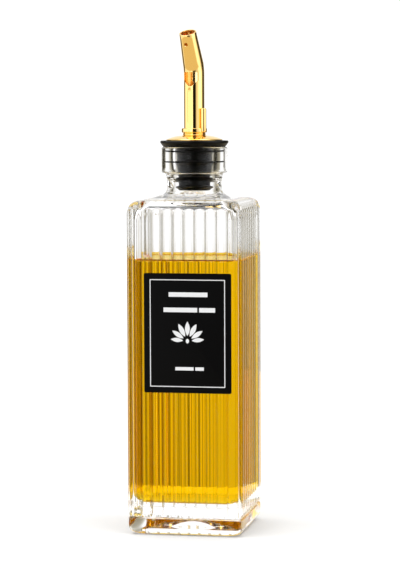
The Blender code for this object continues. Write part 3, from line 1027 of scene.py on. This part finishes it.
@dataclass
class FrontLabel:
    """The black label: a card on the rib crests with a pale border, plain bars and a small leaf motif."""

    corner: float = 0.8 * MM
    edge: float = 0.12 * MM
    contact: float = 0.03 * MM  # how far the card's back sinks into the crests
    print_height: float = 0.02 * MM
    border_inset: float = 3.1 * MM
    border_line: float = 0.42 * MM
    border_corner: float = 0.3 * MM
    leaf_count: int = 7
    leaf_sides: int = 40
    bars: tuple[tuple[float, float, float, float], ...] = (  # (across, up, length, height) from the middle
        (0.4 * MM, 19.7 * MM, 20.0 * MM, 2.3 * MM), (-3.6 * MM, 11.9 * MM, 17.4 * MM, 2.3 * MM),
        (10.2 * MM, 11.9 * MM, 8.2 * MM, 2.3 * MM), (-1.6 * MM, -18.0 * MM, 9.4 * MM, 1.7 * MM),
        (6.2 * MM, -18.0 * MM, 4.4 * MM, 1.7 * MM))

    def __post_init__(self) -> None:
        """Take the card's place from the frame."""
        low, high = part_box("label")
        self.front_y = low.y
        self.back_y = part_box("bottle")[0].y + self.contact
        self.middle = Vector(((low.x + high.x) / 2, 0.0, (low.z + high.z) / 2))
        self.width, self.height = high.x - low.x, high.z - low.z

    def outline(self, width: float, height: float, corner: float) -> list[Point]:
        """A rounded rectangle about the card's middle.

        Args:
            width: Its width.
            height: Its height.
            corner: Its corner radius.

        Returns:
            Points (across, up).
        """
        points = []
        reach, climb = width / 2 - corner, height / 2 - corner
        for quarter, (side, rise) in enumerate(((1, 1), (-1, 1), (-1, -1), (1, -1))):
            middle = (self.middle.x + side * reach, self.middle.z + rise * climb)
            points += arc(middle, corner, quarter * 90, quarter * 90 + 90, 6)
        return points

    def slab(self, name: str, outline: Sequence[Point], layers: Sequence[Point],
             material: bpy.types.Material) -> bpy.types.Object:
        """A flat solid with a given outline.

        Args:
            name: The piece's name.
            outline: Points (across, up).
            layers: (place along Y, how far the outline is drawn in), from back to front.
            material: Its finish.

        Returns:
            The piece.
        """
        rings = []
        for y, inset in layers:
            ring = []
            for x, z in outline:
                drawn_x = math.copysign(inset, x - self.middle.x)
                drawn_z = math.copysign(inset, z - self.middle.z)
                ring.append(Vector((x - drawn_x, y, z - drawn_z)))
            rings.append(ring)
        return new_piece(name, loft(rings), material)

    def build_card(self, material: bpy.types.Material) -> bpy.types.Object:
        """The card with its slightly rounded front edge."""
        outline = self.outline(self.width, self.height, self.corner)
        bevel = 0.3 * self.edge
        layers = [(self.back_y, 0.0), (self.front_y + self.edge, 0.0), (self.front_y + bevel, bevel),
                  (self.front_y, self.edge)]
        return self.slab("label_card", outline, layers, material)

    def build_border(self, material: bpy.types.Material) -> bpy.types.Object:
        """The printed line round the card."""
        bm = bmesh.new()
        width, height = self.width - 2 * self.border_inset, self.height - 2 * self.border_inset
        line = 2 * self.border_line
        outer = self.outline(width, height, self.border_corner)
        inner = self.outline(width - line, height - line, self.border_corner)
        back, front = self.front_y + self.print_height, self.front_y - self.print_height
        loops = [[bm.verts.new((x, y, z)) for x, z in outline]
                 for outline, y in ((outer, back), (outer, front), (inner, front), (inner, back))]
        for a, b in zip(loops, loops[1:] + loops[:1]):
            for i in range(len(a)):
                j = (i + 1) % len(a)
                bm.faces.new((a[i], a[j], b[j], b[i]))
        return new_piece("label_border", bm, material)

    def set_on_card(self, piece: bpy.types.Object) -> bpy.types.Object:
        """Move a print drawn flat about the origin on to the card's face.

        Args:
            piece: The print, across along X and up along Y.

        Returns:
            The same piece.
        """
        piece.data.transform(Matrix.Translation(self.middle + Vector((0.0, self.front_y, 0.0)))
                             @ Matrix.Rotation(math.pi / 2, 4, "X"))
        return piece

    def build_bars(self, material: bpy.types.Material) -> bpy.types.Object:
        """Rows of plain printed bars."""
        rule = RuleTree("printed_bars", {"Print Height": 2 * self.print_height})
        bar = rule.node("GeometryNodeMeshCube")
        rows = rule.node("GeometryNodeInstanceOnPoints", {
            "Points": rule.start.outputs["Geometry"], "Instance": bar.outputs["Mesh"],
            "Scale": rule.attribute("bar_size", "FLOAT_VECTOR")})
        flat = rule.node("GeometryNodeScaleInstances", {
            "Instances": rows.outputs[0], "Scale": rule.vector(X=1.0, Y=1.0, Z=rule.size("Print Height"))})
        rule.finish(flat.outputs[0], material)
        bm = bmesh.new()
        for across, up, _, _ in self.bars:
            bm.verts.new((across, up, 0.0))
        piece = new_piece("label_bars", bm)
        sizes = [part for _, _, length, height in self.bars for part in (length, height, 1.0)]
        piece.data.attributes.new("bar_size", "FLOAT_VECTOR", "POINT").data.foreach_set("vector", sizes)
        rule.apply(piece)
        return self.set_on_card(piece)

    def build_motif(self, material: bpy.types.Material) -> bpy.types.Object:
        """A fan of leaves that rises from one olive."""
        rule = RuleTree("leaf_fan", {
            "Leaf Count": self.leaf_count, "Root Radius": 2.6 * MM, "Leaf Length": 7.4 * MM,
            "Leaf Width": 2.5 * MM, "Sweep": math.radians(168.0), "Side Share": 0.86,
            "Olive Width": 1.7 * MM, "Olive Height": 2.3 * MM, "Base Height": -3.9 * MM,
            "Print Height": 2 * self.print_height})
        disc = rule.node("GeometryNodeMeshCylinder", {"Vertices": self.leaf_sides, "Radius": 1.0,
                                                      "Depth": rule.size("Print Height")})
        x, y, z = rule.position()
        half_length = rule.math("MULTIPLY", rule.size("Leaf Length"), 0.5)
        half_leaf = rule.math("MULTIPLY", rule.size("Leaf Width"), 0.5)
        along = rule.math("MULTIPLY", rule.math("ADD", x, 1.0), half_length)
        along = rule.math("ADD", along, rule.size("Root Radius"))
        across = rule.math("MULTIPLY", rule.math("MULTIPLY", y, rule.math("ABSOLUTE", y)), half_leaf)
        leaf = rule.node("GeometryNodeSetPosition", {"Geometry": disc.outputs["Mesh"],
                                                     "Position": rule.vector(X=along, Y=across, Z=z)})
        last = rule.math("SUBTRACT", rule.size("Leaf Count"), 1.0)
        number = rule.node("GeometryNodeInputIndex").outputs[0]
        share = rule.math("SUBTRACT", rule.math("DIVIDE", number, last), 0.5)
        angle = rule.math("ADD", rule.math("MULTIPLY", share, rule.size("Sweep")), math.pi / 2)
        aside = rule.math("POWER", rule.math("ABSOLUTE", rule.math("MULTIPLY", share, 2.0)), 2.0)
        lost = rule.math("MULTIPLY", aside, rule.math("SUBTRACT", 1.0, rule.size("Side Share")))
        size = rule.math("SUBTRACT", 1.0, lost)
        roots = rule.node("GeometryNodeMeshLine", {"Count": rule.size("Leaf Count"),
                                                   "Offset": (0.0, 0.0, 0.0)})
        fan = rule.node("GeometryNodeInstanceOnPoints", {
            "Points": roots.outputs[0], "Instance": leaf.outputs[0], "Rotation": rule.vector(Z=angle),
            "Scale": rule.vector(X=size, Y=size, Z=1.0)})
        half_width = rule.math("MULTIPLY", rule.size("Olive Width"), 0.5)
        half_height = rule.math("MULTIPLY", rule.size("Olive Height"), 0.5)
        olive = rule.node("GeometryNodeTransform", {
            "Geometry": disc.outputs["Mesh"], "Scale": rule.vector(X=half_width, Y=half_height, Z=1.0)})
        both = rule.node("GeometryNodeJoinGeometry")
        for part in (fan, olive):
            rule.tree.links.new(part.outputs[0], both.inputs[0])
        moved = rule.node("GeometryNodeTransform", {
            "Geometry": both.outputs[0], "Translation": rule.vector(Y=rule.size("Base Height"))})
        rule.finish(moved.outputs[0], material)
        return self.set_on_card(rule.make_piece("label_leaf_fan"))


# ---------------------------------------------------------------- stopper


@dataclass(frozen=True)
class FinRow:
    """Sealing fins of one size, one under the other."""

    name: str
    radius: float
    core: float
    top_z: float
    pitch: float
    count: int = 2


@dataclass
class Stopper:
    """The black rubber stopper: a bevelled flange on the lip and a finned plug in the neck."""

    base_radius: float = 16.2 * MM
    plug_top_radius: float = 9.0 * MM
    plug_low_radius: float = 8.2 * MM
    plug_rounding: float = 1.0 * MM
    step_z: float = 184.6 * MM
    step_height: float = 1.0 * MM
    seat: float = 0.02 * MM  # how far the flange stands off the glass
    seat_chamfer: float = 0.3 * MM
    seat_fillet: float = 0.4 * MM
    flange_rounding: float = 0.5 * MM
    fin_lip: float = 0.7 * MM
    fin_rise_above: float = 0.7 * MM
    fin_rise_below: float = 1.5 * MM
    fin_curve: float = 1.8  # how late the fins thicken from their lips to the core: 1 is evenly
    fin_rings: int = 14
    fin_rows: tuple[FinRow, ...] = (
        FinRow("mouth_fins", 10.15 * MM, 9.0 * MM, 195.2 * MM, 5.2 * MM),
        FinRow("neck_fins", 9.7 * MM, 8.2 * MM, 182.6 * MM, 4.8 * MM))
    segments: int = 128

    def build_fins(self, row: FinRow, material: bpy.types.Material) -> bpy.types.Object:
        """Make a row of sealing fins.

        Args:
            row: Where the fins stand and how wide they are.
            material: The rubber.

        Returns:
            The fins as one piece.
        """
        rule = RuleTree("sealing_fins", {
            "Fin Count": row.count, "Fin Radius": row.radius, "Core Radius": row.core,
            "Top Height": row.top_z, "Pitch": row.pitch, "Lip Thickness": self.fin_lip,
            "Rise Above": self.fin_rise_above, "Rise Below": self.fin_rise_below, "Curve": self.fin_curve})
        disc = rule.node("GeometryNodeMeshCylinder", {
            "Vertices": self.segments, "Fill Segments": self.fin_rings, "Radius": rule.size("Fin Radius"),
            "Depth": 2.0})
        x, y, z = rule.position()
        squared = rule.math("ADD", rule.math("MULTIPLY", x, x), rule.math("MULTIPLY", y, y))
        from_axis = rule.math("SQRT", squared)
        reach = rule.math("SUBTRACT", rule.size("Fin Radius"), rule.size("Core Radius"))
        inward = rule.math("DIVIDE", rule.math("SUBTRACT", rule.size("Fin Radius"), from_axis), reach)
        inward = rule.math("MAXIMUM", rule.math("MINIMUM", inward, 1.0), 0.0)
        swell = rule.math("POWER", inward, rule.size("Curve"))
        lip = rule.math("MULTIPLY", rule.size("Lip Thickness"), 0.5)
        above = rule.math("ADD", lip, rule.math("MULTIPLY", swell, rule.size("Rise Above")))
        below = rule.math("ADD", lip, rule.math("MULTIPLY", swell, rule.size("Rise Below")))
        top_side = rule.math("MAXIMUM", z, 0.0)
        under_side = rule.math("MAXIMUM", rule.math("MULTIPLY", z, -1.0), 0.0)
        height = rule.math("SUBTRACT", rule.math("MULTIPLY", top_side, above),
                           rule.math("MULTIPLY", under_side, below))
        fin = rule.node("GeometryNodeSetPosition", {"Geometry": disc.outputs["Mesh"],
                                                    "Position": rule.vector(X=x, Y=y, Z=height)})
        step_down = rule.math("MULTIPLY", rule.size("Pitch"), -1.0)
        stack = rule.node("GeometryNodeMeshLine", {
            "Count": rule.size("Fin Count"), "Start Location": rule.vector(Z=rule.size("Top Height")),
            "Offset": rule.vector(Z=step_down)})
        fins = rule.node("GeometryNodeInstanceOnPoints", {"Points": stack.outputs[0],
                                                          "Instance": fin.outputs[0]})
        rule.finish(fins.outputs[0], material)
        return rule.make_piece(row.name)

    def build(self, material: bpy.types.Material) -> bpy.types.Object:
        """Make the stopper.

        Args:
            material: The rubber.

        Returns:
            The stopper as one closed piece.
        """
        low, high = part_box("stopper")
        rim = high.x
        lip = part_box("bottle")[1].z
        seat = lip + self.seat
        core, top = self.plug_low_radius, self.plug_top_radius
        bend, edge = self.plug_rounding, self.flange_rounding
        profile = [(0.0, low.z), (core - 1.2 * bend, low.z)]
        profile += arc((core - bend, low.z + bend), bend, -80, 0, 5)
        profile.append((core, self.step_z))
        profile.append((core + 0.2 * self.step_height, self.step_z + 0.4 * self.step_height))
        profile.append((top, self.step_z + self.step_height))
        profile += [(top, lip - self.seat_fillet), (top + self.seat_fillet, seat)]
        profile.append((self.base_radius - self.seat_chamfer, seat))
        profile.append((self.base_radius, lip + self.seat_chamfer))
        profile.append((rim - 0.7 * edge, high.z - 3 * edge))
        profile += arc((rim - edge, high.z - 1.8 * edge), edge, -30, 0, 3)
        profile += arc((rim - edge, high.z - edge), edge, 0, 90, 5)
        profile.append((0.0, high.z))
        return new_piece("rubber_stopper", turned(profile, self.segments), material, sharp=38.0)


# ---------------------------------------------------------------- gold fitting


@dataclass
class SpoutBase:
    """The gold dome on the stopper, its short neck and the bead that grips the spout."""

    dome_height: float = 2.4 * MM
    dome_rim: float = 0.3 * MM
    dome_bulge: float = 1.8  # 1 is a cone, more is rounder
    dome_steps: int = 8
    neck_radius: float = 5.6 * MM
    neck_foot: float = 0.9 * MM  # how much wider the neck starts
    neck_fillet: float = 0.6 * MM
    neck_ring: float = 0.35 * MM
    bead_radius: float = 6.6 * MM
    bead_rounding: float = 0.45 * MM
    bead_bottom_z: float = 204.9 * MM
    socket_bite: float = 0.05 * MM  # how far the bead reaches into the spout's wall
    socket_floor: float = 0.1 * MM
    edge: float = 0.15 * MM
    segments: int = 128

    def build(self, material: bpy.types.Material, tube_radius: float) -> bpy.types.Object:
        """Make the dome and socket.

        Args:
            material: The plating.
            tube_radius: The spout's outer radius.

        Returns:
            One closed piece.
        """
        low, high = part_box("dome")
        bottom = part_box("stopper")[1].z - 0.02 * MM
        rim, bead, neck, edge = high.x, self.bead_radius, self.neck_radius, self.edge
        foot = neck + self.neck_foot
        profile = [(0.0, bottom), (rim - edge, bottom)]
        profile += arc((rim - edge, low.z + edge), edge, -60, 60, 4)
        for step in range(1, self.dome_steps + 1):
            share = step / self.dome_steps
            bulge = 1 - (1 - share) ** self.dome_bulge
            rise = self.dome_rim + (self.dome_height - self.dome_rim) * bulge
            profile.append((rim + (foot - rim) * share, low.z + rise))
        profile += arc((foot, profile[-1][1] + self.neck_fillet), self.neck_fillet, 270, 200, 4)
        profile += arc((neck, self.bead_bottom_z - 2 * self.neck_ring), self.neck_ring, -60, 60, 4)
        profile.append((neck, self.bead_bottom_z - self.socket_floor))
        ring = self.bead_rounding
        profile += arc((bead - ring, self.bead_bottom_z + ring), ring, -80, 0, 4)
        profile += arc((bead - ring, high.z - ring), ring, 0, 90, 4)
        socket, floor = tube_radius - self.socket_bite, self.bead_bottom_z + self.socket_floor
        profile += [(socket, high.z - self.socket_bite), (socket, floor), (0.0, floor)]
        return new_piece("gold_dome", turned(profile, self.segments), material, sharp=35.0)


@dataclass
class Spout:
    """The bent pouring tube, with its window, its pressed flute and the air hole near its mouth."""

    radius: float = 5.3 * MM
    wall: float = 0.7 * MM
    tip_radius: float = 4.35 * MM
    bend_z: float = 234.8 * MM
    bend_radius: float = 14.0 * MM
    lean: float = math.radians(23.5)
    turn: float = math.radians(-12.5)
    tip_length: float = 17.0 * MM
    window_top_z: float = 235.9 * MM
    window_straight_z: float = 231.6 * MM
    window_bottom_z: float = 228.7 * MM
    window_half: float = 4.0 * MM
    window_point: float = 0.8 * MM
    window_depth: float = -1.2 * MM  # where the cut ends, along Y from the tube's axis
    air_hole_radius: float = 1.0 * MM
    air_hole_from_tip: float = 4.8 * MM
    flute_bearing: float = math.radians(-4.0)  # from the front, in the spout's own plane
    flute_half_width: float = 1.35 * MM
    flute_depth: float = 0.45 * MM
    flute_top_z: float = 227.9 * MM
    flute_bottom_z: float = 208.2 * MM
    edge: float = 0.12 * MM
    straight_steps: int = 60
    bend_steps: int = 12
    tip_steps: int = 8
    segments: int = 144

    def stations(self) -> list[tuple[float, float, float, float]]:
        """Points up the middle line.

        Returns:
            (forward, height, lean, share of the taper) for each.
        """
        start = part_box("spout")[0].z - 0.1 * MM
        steps, rise = self.straight_steps, self.bend_z - start
        line = [(0.0, start + rise * i / steps, 0.0, 0.0) for i in range(steps)]
        for i in range(self.bend_steps + 1):
            lean = self.lean * i / self.bend_steps
            forward = self.bend_radius * (1 - math.cos(lean))
            line.append((forward, self.bend_z + self.bend_radius * math.sin(lean), lean, 0.0))
        forward, height, lean, _ = line[-1]
        for i in range(1, self.tip_steps + 1):
            share = i / self.tip_steps
            run = self.tip_length * share
            line.append((forward + run * math.sin(lean), height + run * math.cos(lean), lean, share))
        return line

    def flute(self, angle: float, z: float) -> float:
        """How deep the flute is pressed in at a place on the upright tube.

        Its sides and its foot run out over half its width, its head over the whole width.

        Args:
            angle: Round the tube, from the front.
            z: The height.

        Returns:
            The depth.
        """
        half = self.flute_half_width
        across = (angle - self.flute_bearing) * self.radius / half
        past_foot = max(self.flute_bottom_z + half - z, 0.0) / half
        past_head = max(z - self.flute_top_z + 2 * half, 0.0) / (2 * half)
        away = math.hypot(across, past_foot, past_head)
        return self.flute_depth * max(1 - away ** 4, 0.0)

    def skin(self, name: str, inset: float, overrun: float, fluted: bool,
             material: bpy.types.Material) -> bpy.types.Object:
        """The tube's surface, drawn in by an inset.

        Args:
            name: The object's name.
            inset: How far inside the outer surface it lies.
            overrun: How far it runs past both ends.
            fluted: Whether the flute shows.
            material: Its finish.

        Returns:
            A closed solid.
        """
        rings = []
        line = self.stations()
        for index, (forward, height, lean, share) in enumerate(line):
            radius = self.radius + (self.tip_radius - self.radius) * share - inset
            past = {0: -overrun, len(line) - 1: overrun}.get(index, 0.0)
            along = Vector((0.0, -math.sin(lean), math.cos(lean)))
            front = Vector((0.0, -math.cos(lean), -math.sin(lean)))
            middle = Vector((0.0, -forward, height)) + along * past
            ring = []
            for i in range(self.segments):
                angle = math.tau * i / self.segments
                signed = (angle + math.pi) % math.tau - math.pi
                deep = self.flute(signed, height) if fluted and lean == 0.0 else 0.0
                side = Vector((math.sin(angle), 0.0, 0.0)) + front * math.cos(angle)
                ring.append(middle + side * (radius - deep))
            rings.append(ring)
        return new_piece(name, loft(rings), material, sharp=35.0)

    def window_tool(self, material: bpy.types.Material) -> bpy.types.Object:
        """The cutter of the pouring window."""
        w, p = self.window_half, self.window_point
        outline = [(-w, self.window_top_z), (-w, self.window_straight_z), (-p, self.window_bottom_z),
                   (p, self.window_bottom_z), (w, self.window_straight_z), (w, self.window_top_z)]
        depths = (self.window_depth, -self.radius - 2 * MM)
        rings = [[Vector((x, y, z)) for x, z in outline] for y in depths]
        return new_piece("window_tool", loft(rings), material)

    def air_hole_tool(self, material: bpy.types.Material) -> bpy.types.Object:
        """The cutter of the air hole."""
        forward, height, lean, _ = self.stations()[-1]
        along = Vector((0.0, -math.sin(lean), math.cos(lean)))
        outward = Vector((0.0, -math.cos(lean), -math.sin(lean)))
        length, r = 8 * MM, self.air_hole_radius
        drill = turned([(0.0, 0.0), (r, 0.0), (r, length), (0.0, length)], 32)
        tool = new_piece("air_hole_tool", drill, material)
        start = Vector((0.0, -forward, height)) - along * self.air_hole_from_tip + outward * MM
        tool.data.transform(Matrix.Translation(start) @ outward.to_track_quat("Z", "Y").to_matrix().to_4x4())
        return tool

    def build(self, material: bpy.types.Material, inside: bpy.types.Material) -> bpy.types.Object:
        """Make the spout.

        Args:
            material: The plating.
            inside: The finish of its bore and cut edges, painted paler to lift their shade.

        Returns:
            The spout as one closed piece, with softened edges.
        """
        spout = self.skin("gold_spout", 0.0, 0.0, True, material)
        bore = self.skin("spout_bore", self.wall, 1 * MM, False, inside)
        cut(spout, [bore, self.window_tool(inside), self.air_hole_tool(inside)])
        bevel = spout.modifiers.new("softened_edges", "BEVEL")
        bevel.width = self.edge
        bevel.segments = 2
        bevel.limit_method = "ANGLE"
        bevel.angle_limit = math.radians(40)
        bake_modifiers(spout)
        spout.data.transform(Matrix.Rotation(self.turn, 4, "Z"))
        spout.data.shade_smooth()
        spout.data.set_sharp_from_angle(angle=math.radians(35))
        return spout


@dataclass
class Breather:
    """The thin vent tube soldered beside the spout."""

    bore: float = 0.8 * MM
    bore_depth: float = 4.0 * MM
    edge: float = 0.5 * MM
    segments: int = 48
    solder: float = 0.28 * MM  # how far it stands nearer to the spout than its bare solid does

    def build(self, material: bpy.types.Material) -> bpy.types.Object:
        """Make the tube.

        Args:
            material: The plating.

        Returns:
            The tube as one closed piece.
        """
        low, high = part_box("breather")
        radius, edge = (high.x - low.x) / 2, self.edge
        profile = [(0.0, low.z)]
        profile += arc((radius - edge, low.z + edge), edge, -90, 0, 5)
        profile += arc((radius - edge, high.z - edge), edge, 0, 90, 5)
        floor = high.z - self.bore_depth
        profile += [(self.bore, high.z - 0.05 * MM), (self.bore, floor), (0.0, floor)]
        tube = new_piece("gold_breather", turned(profile, self.segments), material, sharp=35.0)
        middle = (low + high) / 2
        away = Vector((middle.x, middle.y, 0.0))
        tube.data.transform(Matrix.Translation(away - away.normalized() * self.solder))
        return tube


# ---------------------------------------------------------------- studio


@dataclass
class Studio:
    """A white floor, soft light from all round and the camera.

    Round the dispenser stand a white backdrop with a black flag on each side of it, long soft panels left
    and right, and a bright fill left of the camera. A ring of light hangs overhead, and a warm table lies
    far below.
    """

    distance: float = 1.2294
    height: float = 0.2236
    bearing: float = math.radians(11.108)
    pitch: float = math.radians(4.535)
    pan: float = math.radians(-0.123)
    roll: float = math.radians(-0.213)
    lens: float = 150.4
    sensor: float = 36.0
    floor_radius: float = 0.115
    floor_back: float = 0.03
    floor_drop: float = 0.2 * MM
    floor_sides: int = 96
    floor_colour: str = "#F2F2F2"
    floor_roughness: float = 0.9
    floor_glow: float = 0.1  # of the light table under the paper
    sweep_light: float = 1.1  # of the plain white that is seen behind everything
    brightness: float = 0.97
    overhead: float = 3.6  # light of the ring overhead
    zenith: float = 0.3  # light of the ring's dark middle
    zenith_rim: float = 0.9  # sine of the height at which that middle starts
    zenith_blend: float = 0.06
    panel_top: float = 0.75  # sine of the height at which the panels end and the ring starts
    panel_blend: float = 0.15
    panels: tuple[Point, ...] = (  # (degrees round from the camera towards +X, share of full light)
        (-180, 1.1), (-166, 1.1), (-159, 0.9), (-150, 0.6), (-141, 0.3), (-134, 0.04), (-125, 0.04),
        (-120, 0.9), (-112, 1.6), (-90, 1.5), (-60, 1.6), (-45, 1.3), (-33, 2.2), (-20, 2.2),
        (-13, 0.04), (-8, 0.01), (12, 0.01), (16, 0.1), (24, 0.9), (45, 1.2), (61, 2.1), (85, 2.1),
        (92, 1.4), (106, 0.3), (112, 0.03), (129, 0.03), (137, 0.2), (150, 0.33), (158, 0.5),
        (166, 1.1), (180, 1.1))
    foot_light: float = 0.8  # share of the panels' light left near their foot
    foot_low: float = -0.14  # sines of the depths between which they dim to it
    foot_high: float = -0.05
    table_top: float = -0.3  # sine of the depth below which the warm table lies
    table_blend: float = 0.08
    table: tuple[float, float, float] = (0.85, 0.73, 0.47)

    def place_camera(self) -> None:
        """Set up the camera that the scene is seen through."""
        camera = bpy.data.cameras.new("camera")
        camera.sensor_fit = "VERTICAL"
        camera.sensor_height = self.sensor
        camera.lens = self.lens
        holder = bpy.data.objects.new("camera", camera)
        bpy.context.scene.collection.objects.link(holder)
        across, back = math.sin(self.bearing) * self.distance, math.cos(self.bearing) * self.distance
        holder.location = (across, -back, self.height)
        heading, level = self.bearing + self.pan, math.cos(self.pitch)
        ahead = Vector((-math.sin(heading) * level, math.cos(heading) * level, -math.sin(self.pitch)))
        holder.rotation_mode = "QUATERNION"
        holder.rotation_quaternion = ahead.to_track_quat("-Z", "Y") @ Quaternion((0, 0, 1), self.roll)
        bpy.context.scene.camera = holder

    def lay_floor(self) -> None:
        """Lay the plain white floor, a disc wide enough for the shadow."""
        bm = bmesh.new()
        bmesh.ops.create_circle(bm, cap_ends=True, segments=self.floor_sides, radius=self.floor_radius)
        material, _, shader, _ = blank_material("floor_white_paper")
        shader.inputs["Base Color"].default_value = srgb(self.floor_colour)
        shader.inputs["Roughness"].default_value = self.floor_roughness
        shader.inputs["Specular IOR Level"].default_value = 0.0
        shader.inputs["Emission Color"].default_value = srgb("#FFFFFF")
        shader.inputs["Emission Strength"].default_value = self.floor_glow
        floor = new_piece("floor", bm, material)
        floor.location = (0.0, self.floor_back, -self.floor_drop)

    def light(self) -> None:
        """Set the world's light: panels and flags round about, a ring above and the table below."""
        world = bpy.data.worlds.new("studio_panels")
        world.use_nodes = True
        bpy.context.scene.world = world
        tree = world.node_tree
        way = add_node(tree, "ShaderNodeTexCoord").outputs["Generated"]
        facing = add_node(tree, "ShaderNodeMapping", {"Vector": way,
                                                     "Rotation": (0.0, 0.0, math.pi / 2 - self.bearing)})
        around = add_node(tree, "ShaderNodeTexGradient", {"Vector": facing.outputs[0]},
                          gradient_type="RADIAL")
        panels = add_node(tree, "ShaderNodeValToRGB", {"Fac": around.outputs["Fac"]})
        fill_ramp(panels, [((bearing + 180.0) / 360.0, level) for bearing, level in self.panels])
        up = add_node(tree, "ShaderNodeSeparateXYZ", {"Vector": way}).outputs["Z"]
        foot = add_node(tree, "ShaderNodeMapRange", {
            "Value": up, "From Min": self.foot_low, "From Max": self.foot_high, "To Min": self.foot_light})
        walls = add_node(tree, "ShaderNodeMix", {
            "Factor": 1.0, "A": panels.outputs["Color"], "B": foot.outputs[0]},
            data_type="RGBA", blend_type="MULTIPLY")
        below = add_node(tree, "ShaderNodeMapRange", {
            "Value": up, "From Min": self.table_top, "From Max": self.table_top - self.table_blend})
        ground = add_node(tree, "ShaderNodeMix", {
            "Factor": below.outputs[0], "A": walls.outputs["Result"], "B": (*self.table, 1.0)},
            data_type="RGBA")
        above = add_node(tree, "ShaderNodeMapRange", {
            "Value": up, "From Min": self.panel_top, "From Max": self.panel_top + self.panel_blend})
        ring = add_node(tree, "ShaderNodeMapRange", {
            "Value": up, "From Min": self.zenith_rim, "From Max": self.zenith_rim + self.zenith_blend,
            "To Min": self.overhead, "To Max": self.zenith})
        studio = add_node(tree, "ShaderNodeMix", {
            "Factor": above.outputs[0], "A": ground.outputs["Result"], "B": ring.outputs[0]},
            data_type="RGBA")
        lit = add_node(tree, "ShaderNodeBackground", {"Color": studio.outputs["Result"],
                                                      "Strength": self.brightness})
        plain = add_node(tree, "ShaderNodeBackground", {"Color": srgb("#FFFFFF"),
                                                        "Strength": self.sweep_light})
        seen = add_node(tree, "ShaderNodeLightPath")
        both = add_node(tree, "ShaderNodeMixShader", {0: seen.outputs["Is Camera Ray"], 1: lit.outputs[0],
                                                     2: plain.outputs[0]})
        tree.links.new(both.outputs[0], tree.nodes["World Output"].inputs["Surface"])

    def set_render(self) -> None:
        """Let light pass the many layers of glass and oil."""
        scene = bpy.context.scene
        scene.cycles.max_bounces = 32
        scene.cycles.transmission_bounces = 32
        scene.cycles.glossy_bounces = 12
        scene.cycles.diffuse_bounces = 3
        scene.cycles.transparent_max_bounces = 16
        scene.cycles.sample_clamp_indirect = 8.0
        scene.cycles.use_denoising = True
        scene.view_settings.view_transform = "Standard"


def main() -> None:
    """Build the dispenser, dress it and light it."""
    glass, wetted_glass = FlintGlass().make(), FlintGlass().make(wetted=True)
    oil = OliveOil().make(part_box("oil")[1].z)
    gold, gold_inside, rubber = GoldPlate().make(), GoldPlate().make_inside(), BlackRubber().make()
    card, ink = BlackCard().make(), PaleInk().make()

    bottle = RibbedBottle()
    put_on(bottle.build(glass, wetted_glass), Slot.GLASS, "bottle")
    put_on(OilFill(bottle.cavity).build(oil), Slot.OIL, "oil")

    label = FrontLabel()
    put_on(label.build_card(card), Slot.CARD, "label")
    put_on(label.build_border(ink), Slot.CARD)
    put_on(label.build_bars(ink), Slot.CARD)
    put_on(label.build_motif(ink), Slot.CARD)

    stopper = Stopper()
    put_on(stopper.build(rubber), Slot.RUBBER, "stopper")
    for row in stopper.fin_rows:
        put_on(stopper.build_fins(row, rubber), Slot.RUBBER)
    spout = Spout()
    put_on(SpoutBase().build(gold, spout.radius), Slot.GOLD, "dome")
    put_on(spout.build(gold, gold_inside), Slot.GOLD, "spout")
    put_on(Breather().build(gold), Slot.GOLD, "breather")

    studio = Studio()
    studio.lay_floor()
    studio.light()
    studio.place_camera()
    studio.set_render()


if __name__ == "__main__":
    logging.basicConfig(level=logging.INFO, format="%(name)s: %(message)s")
    main()
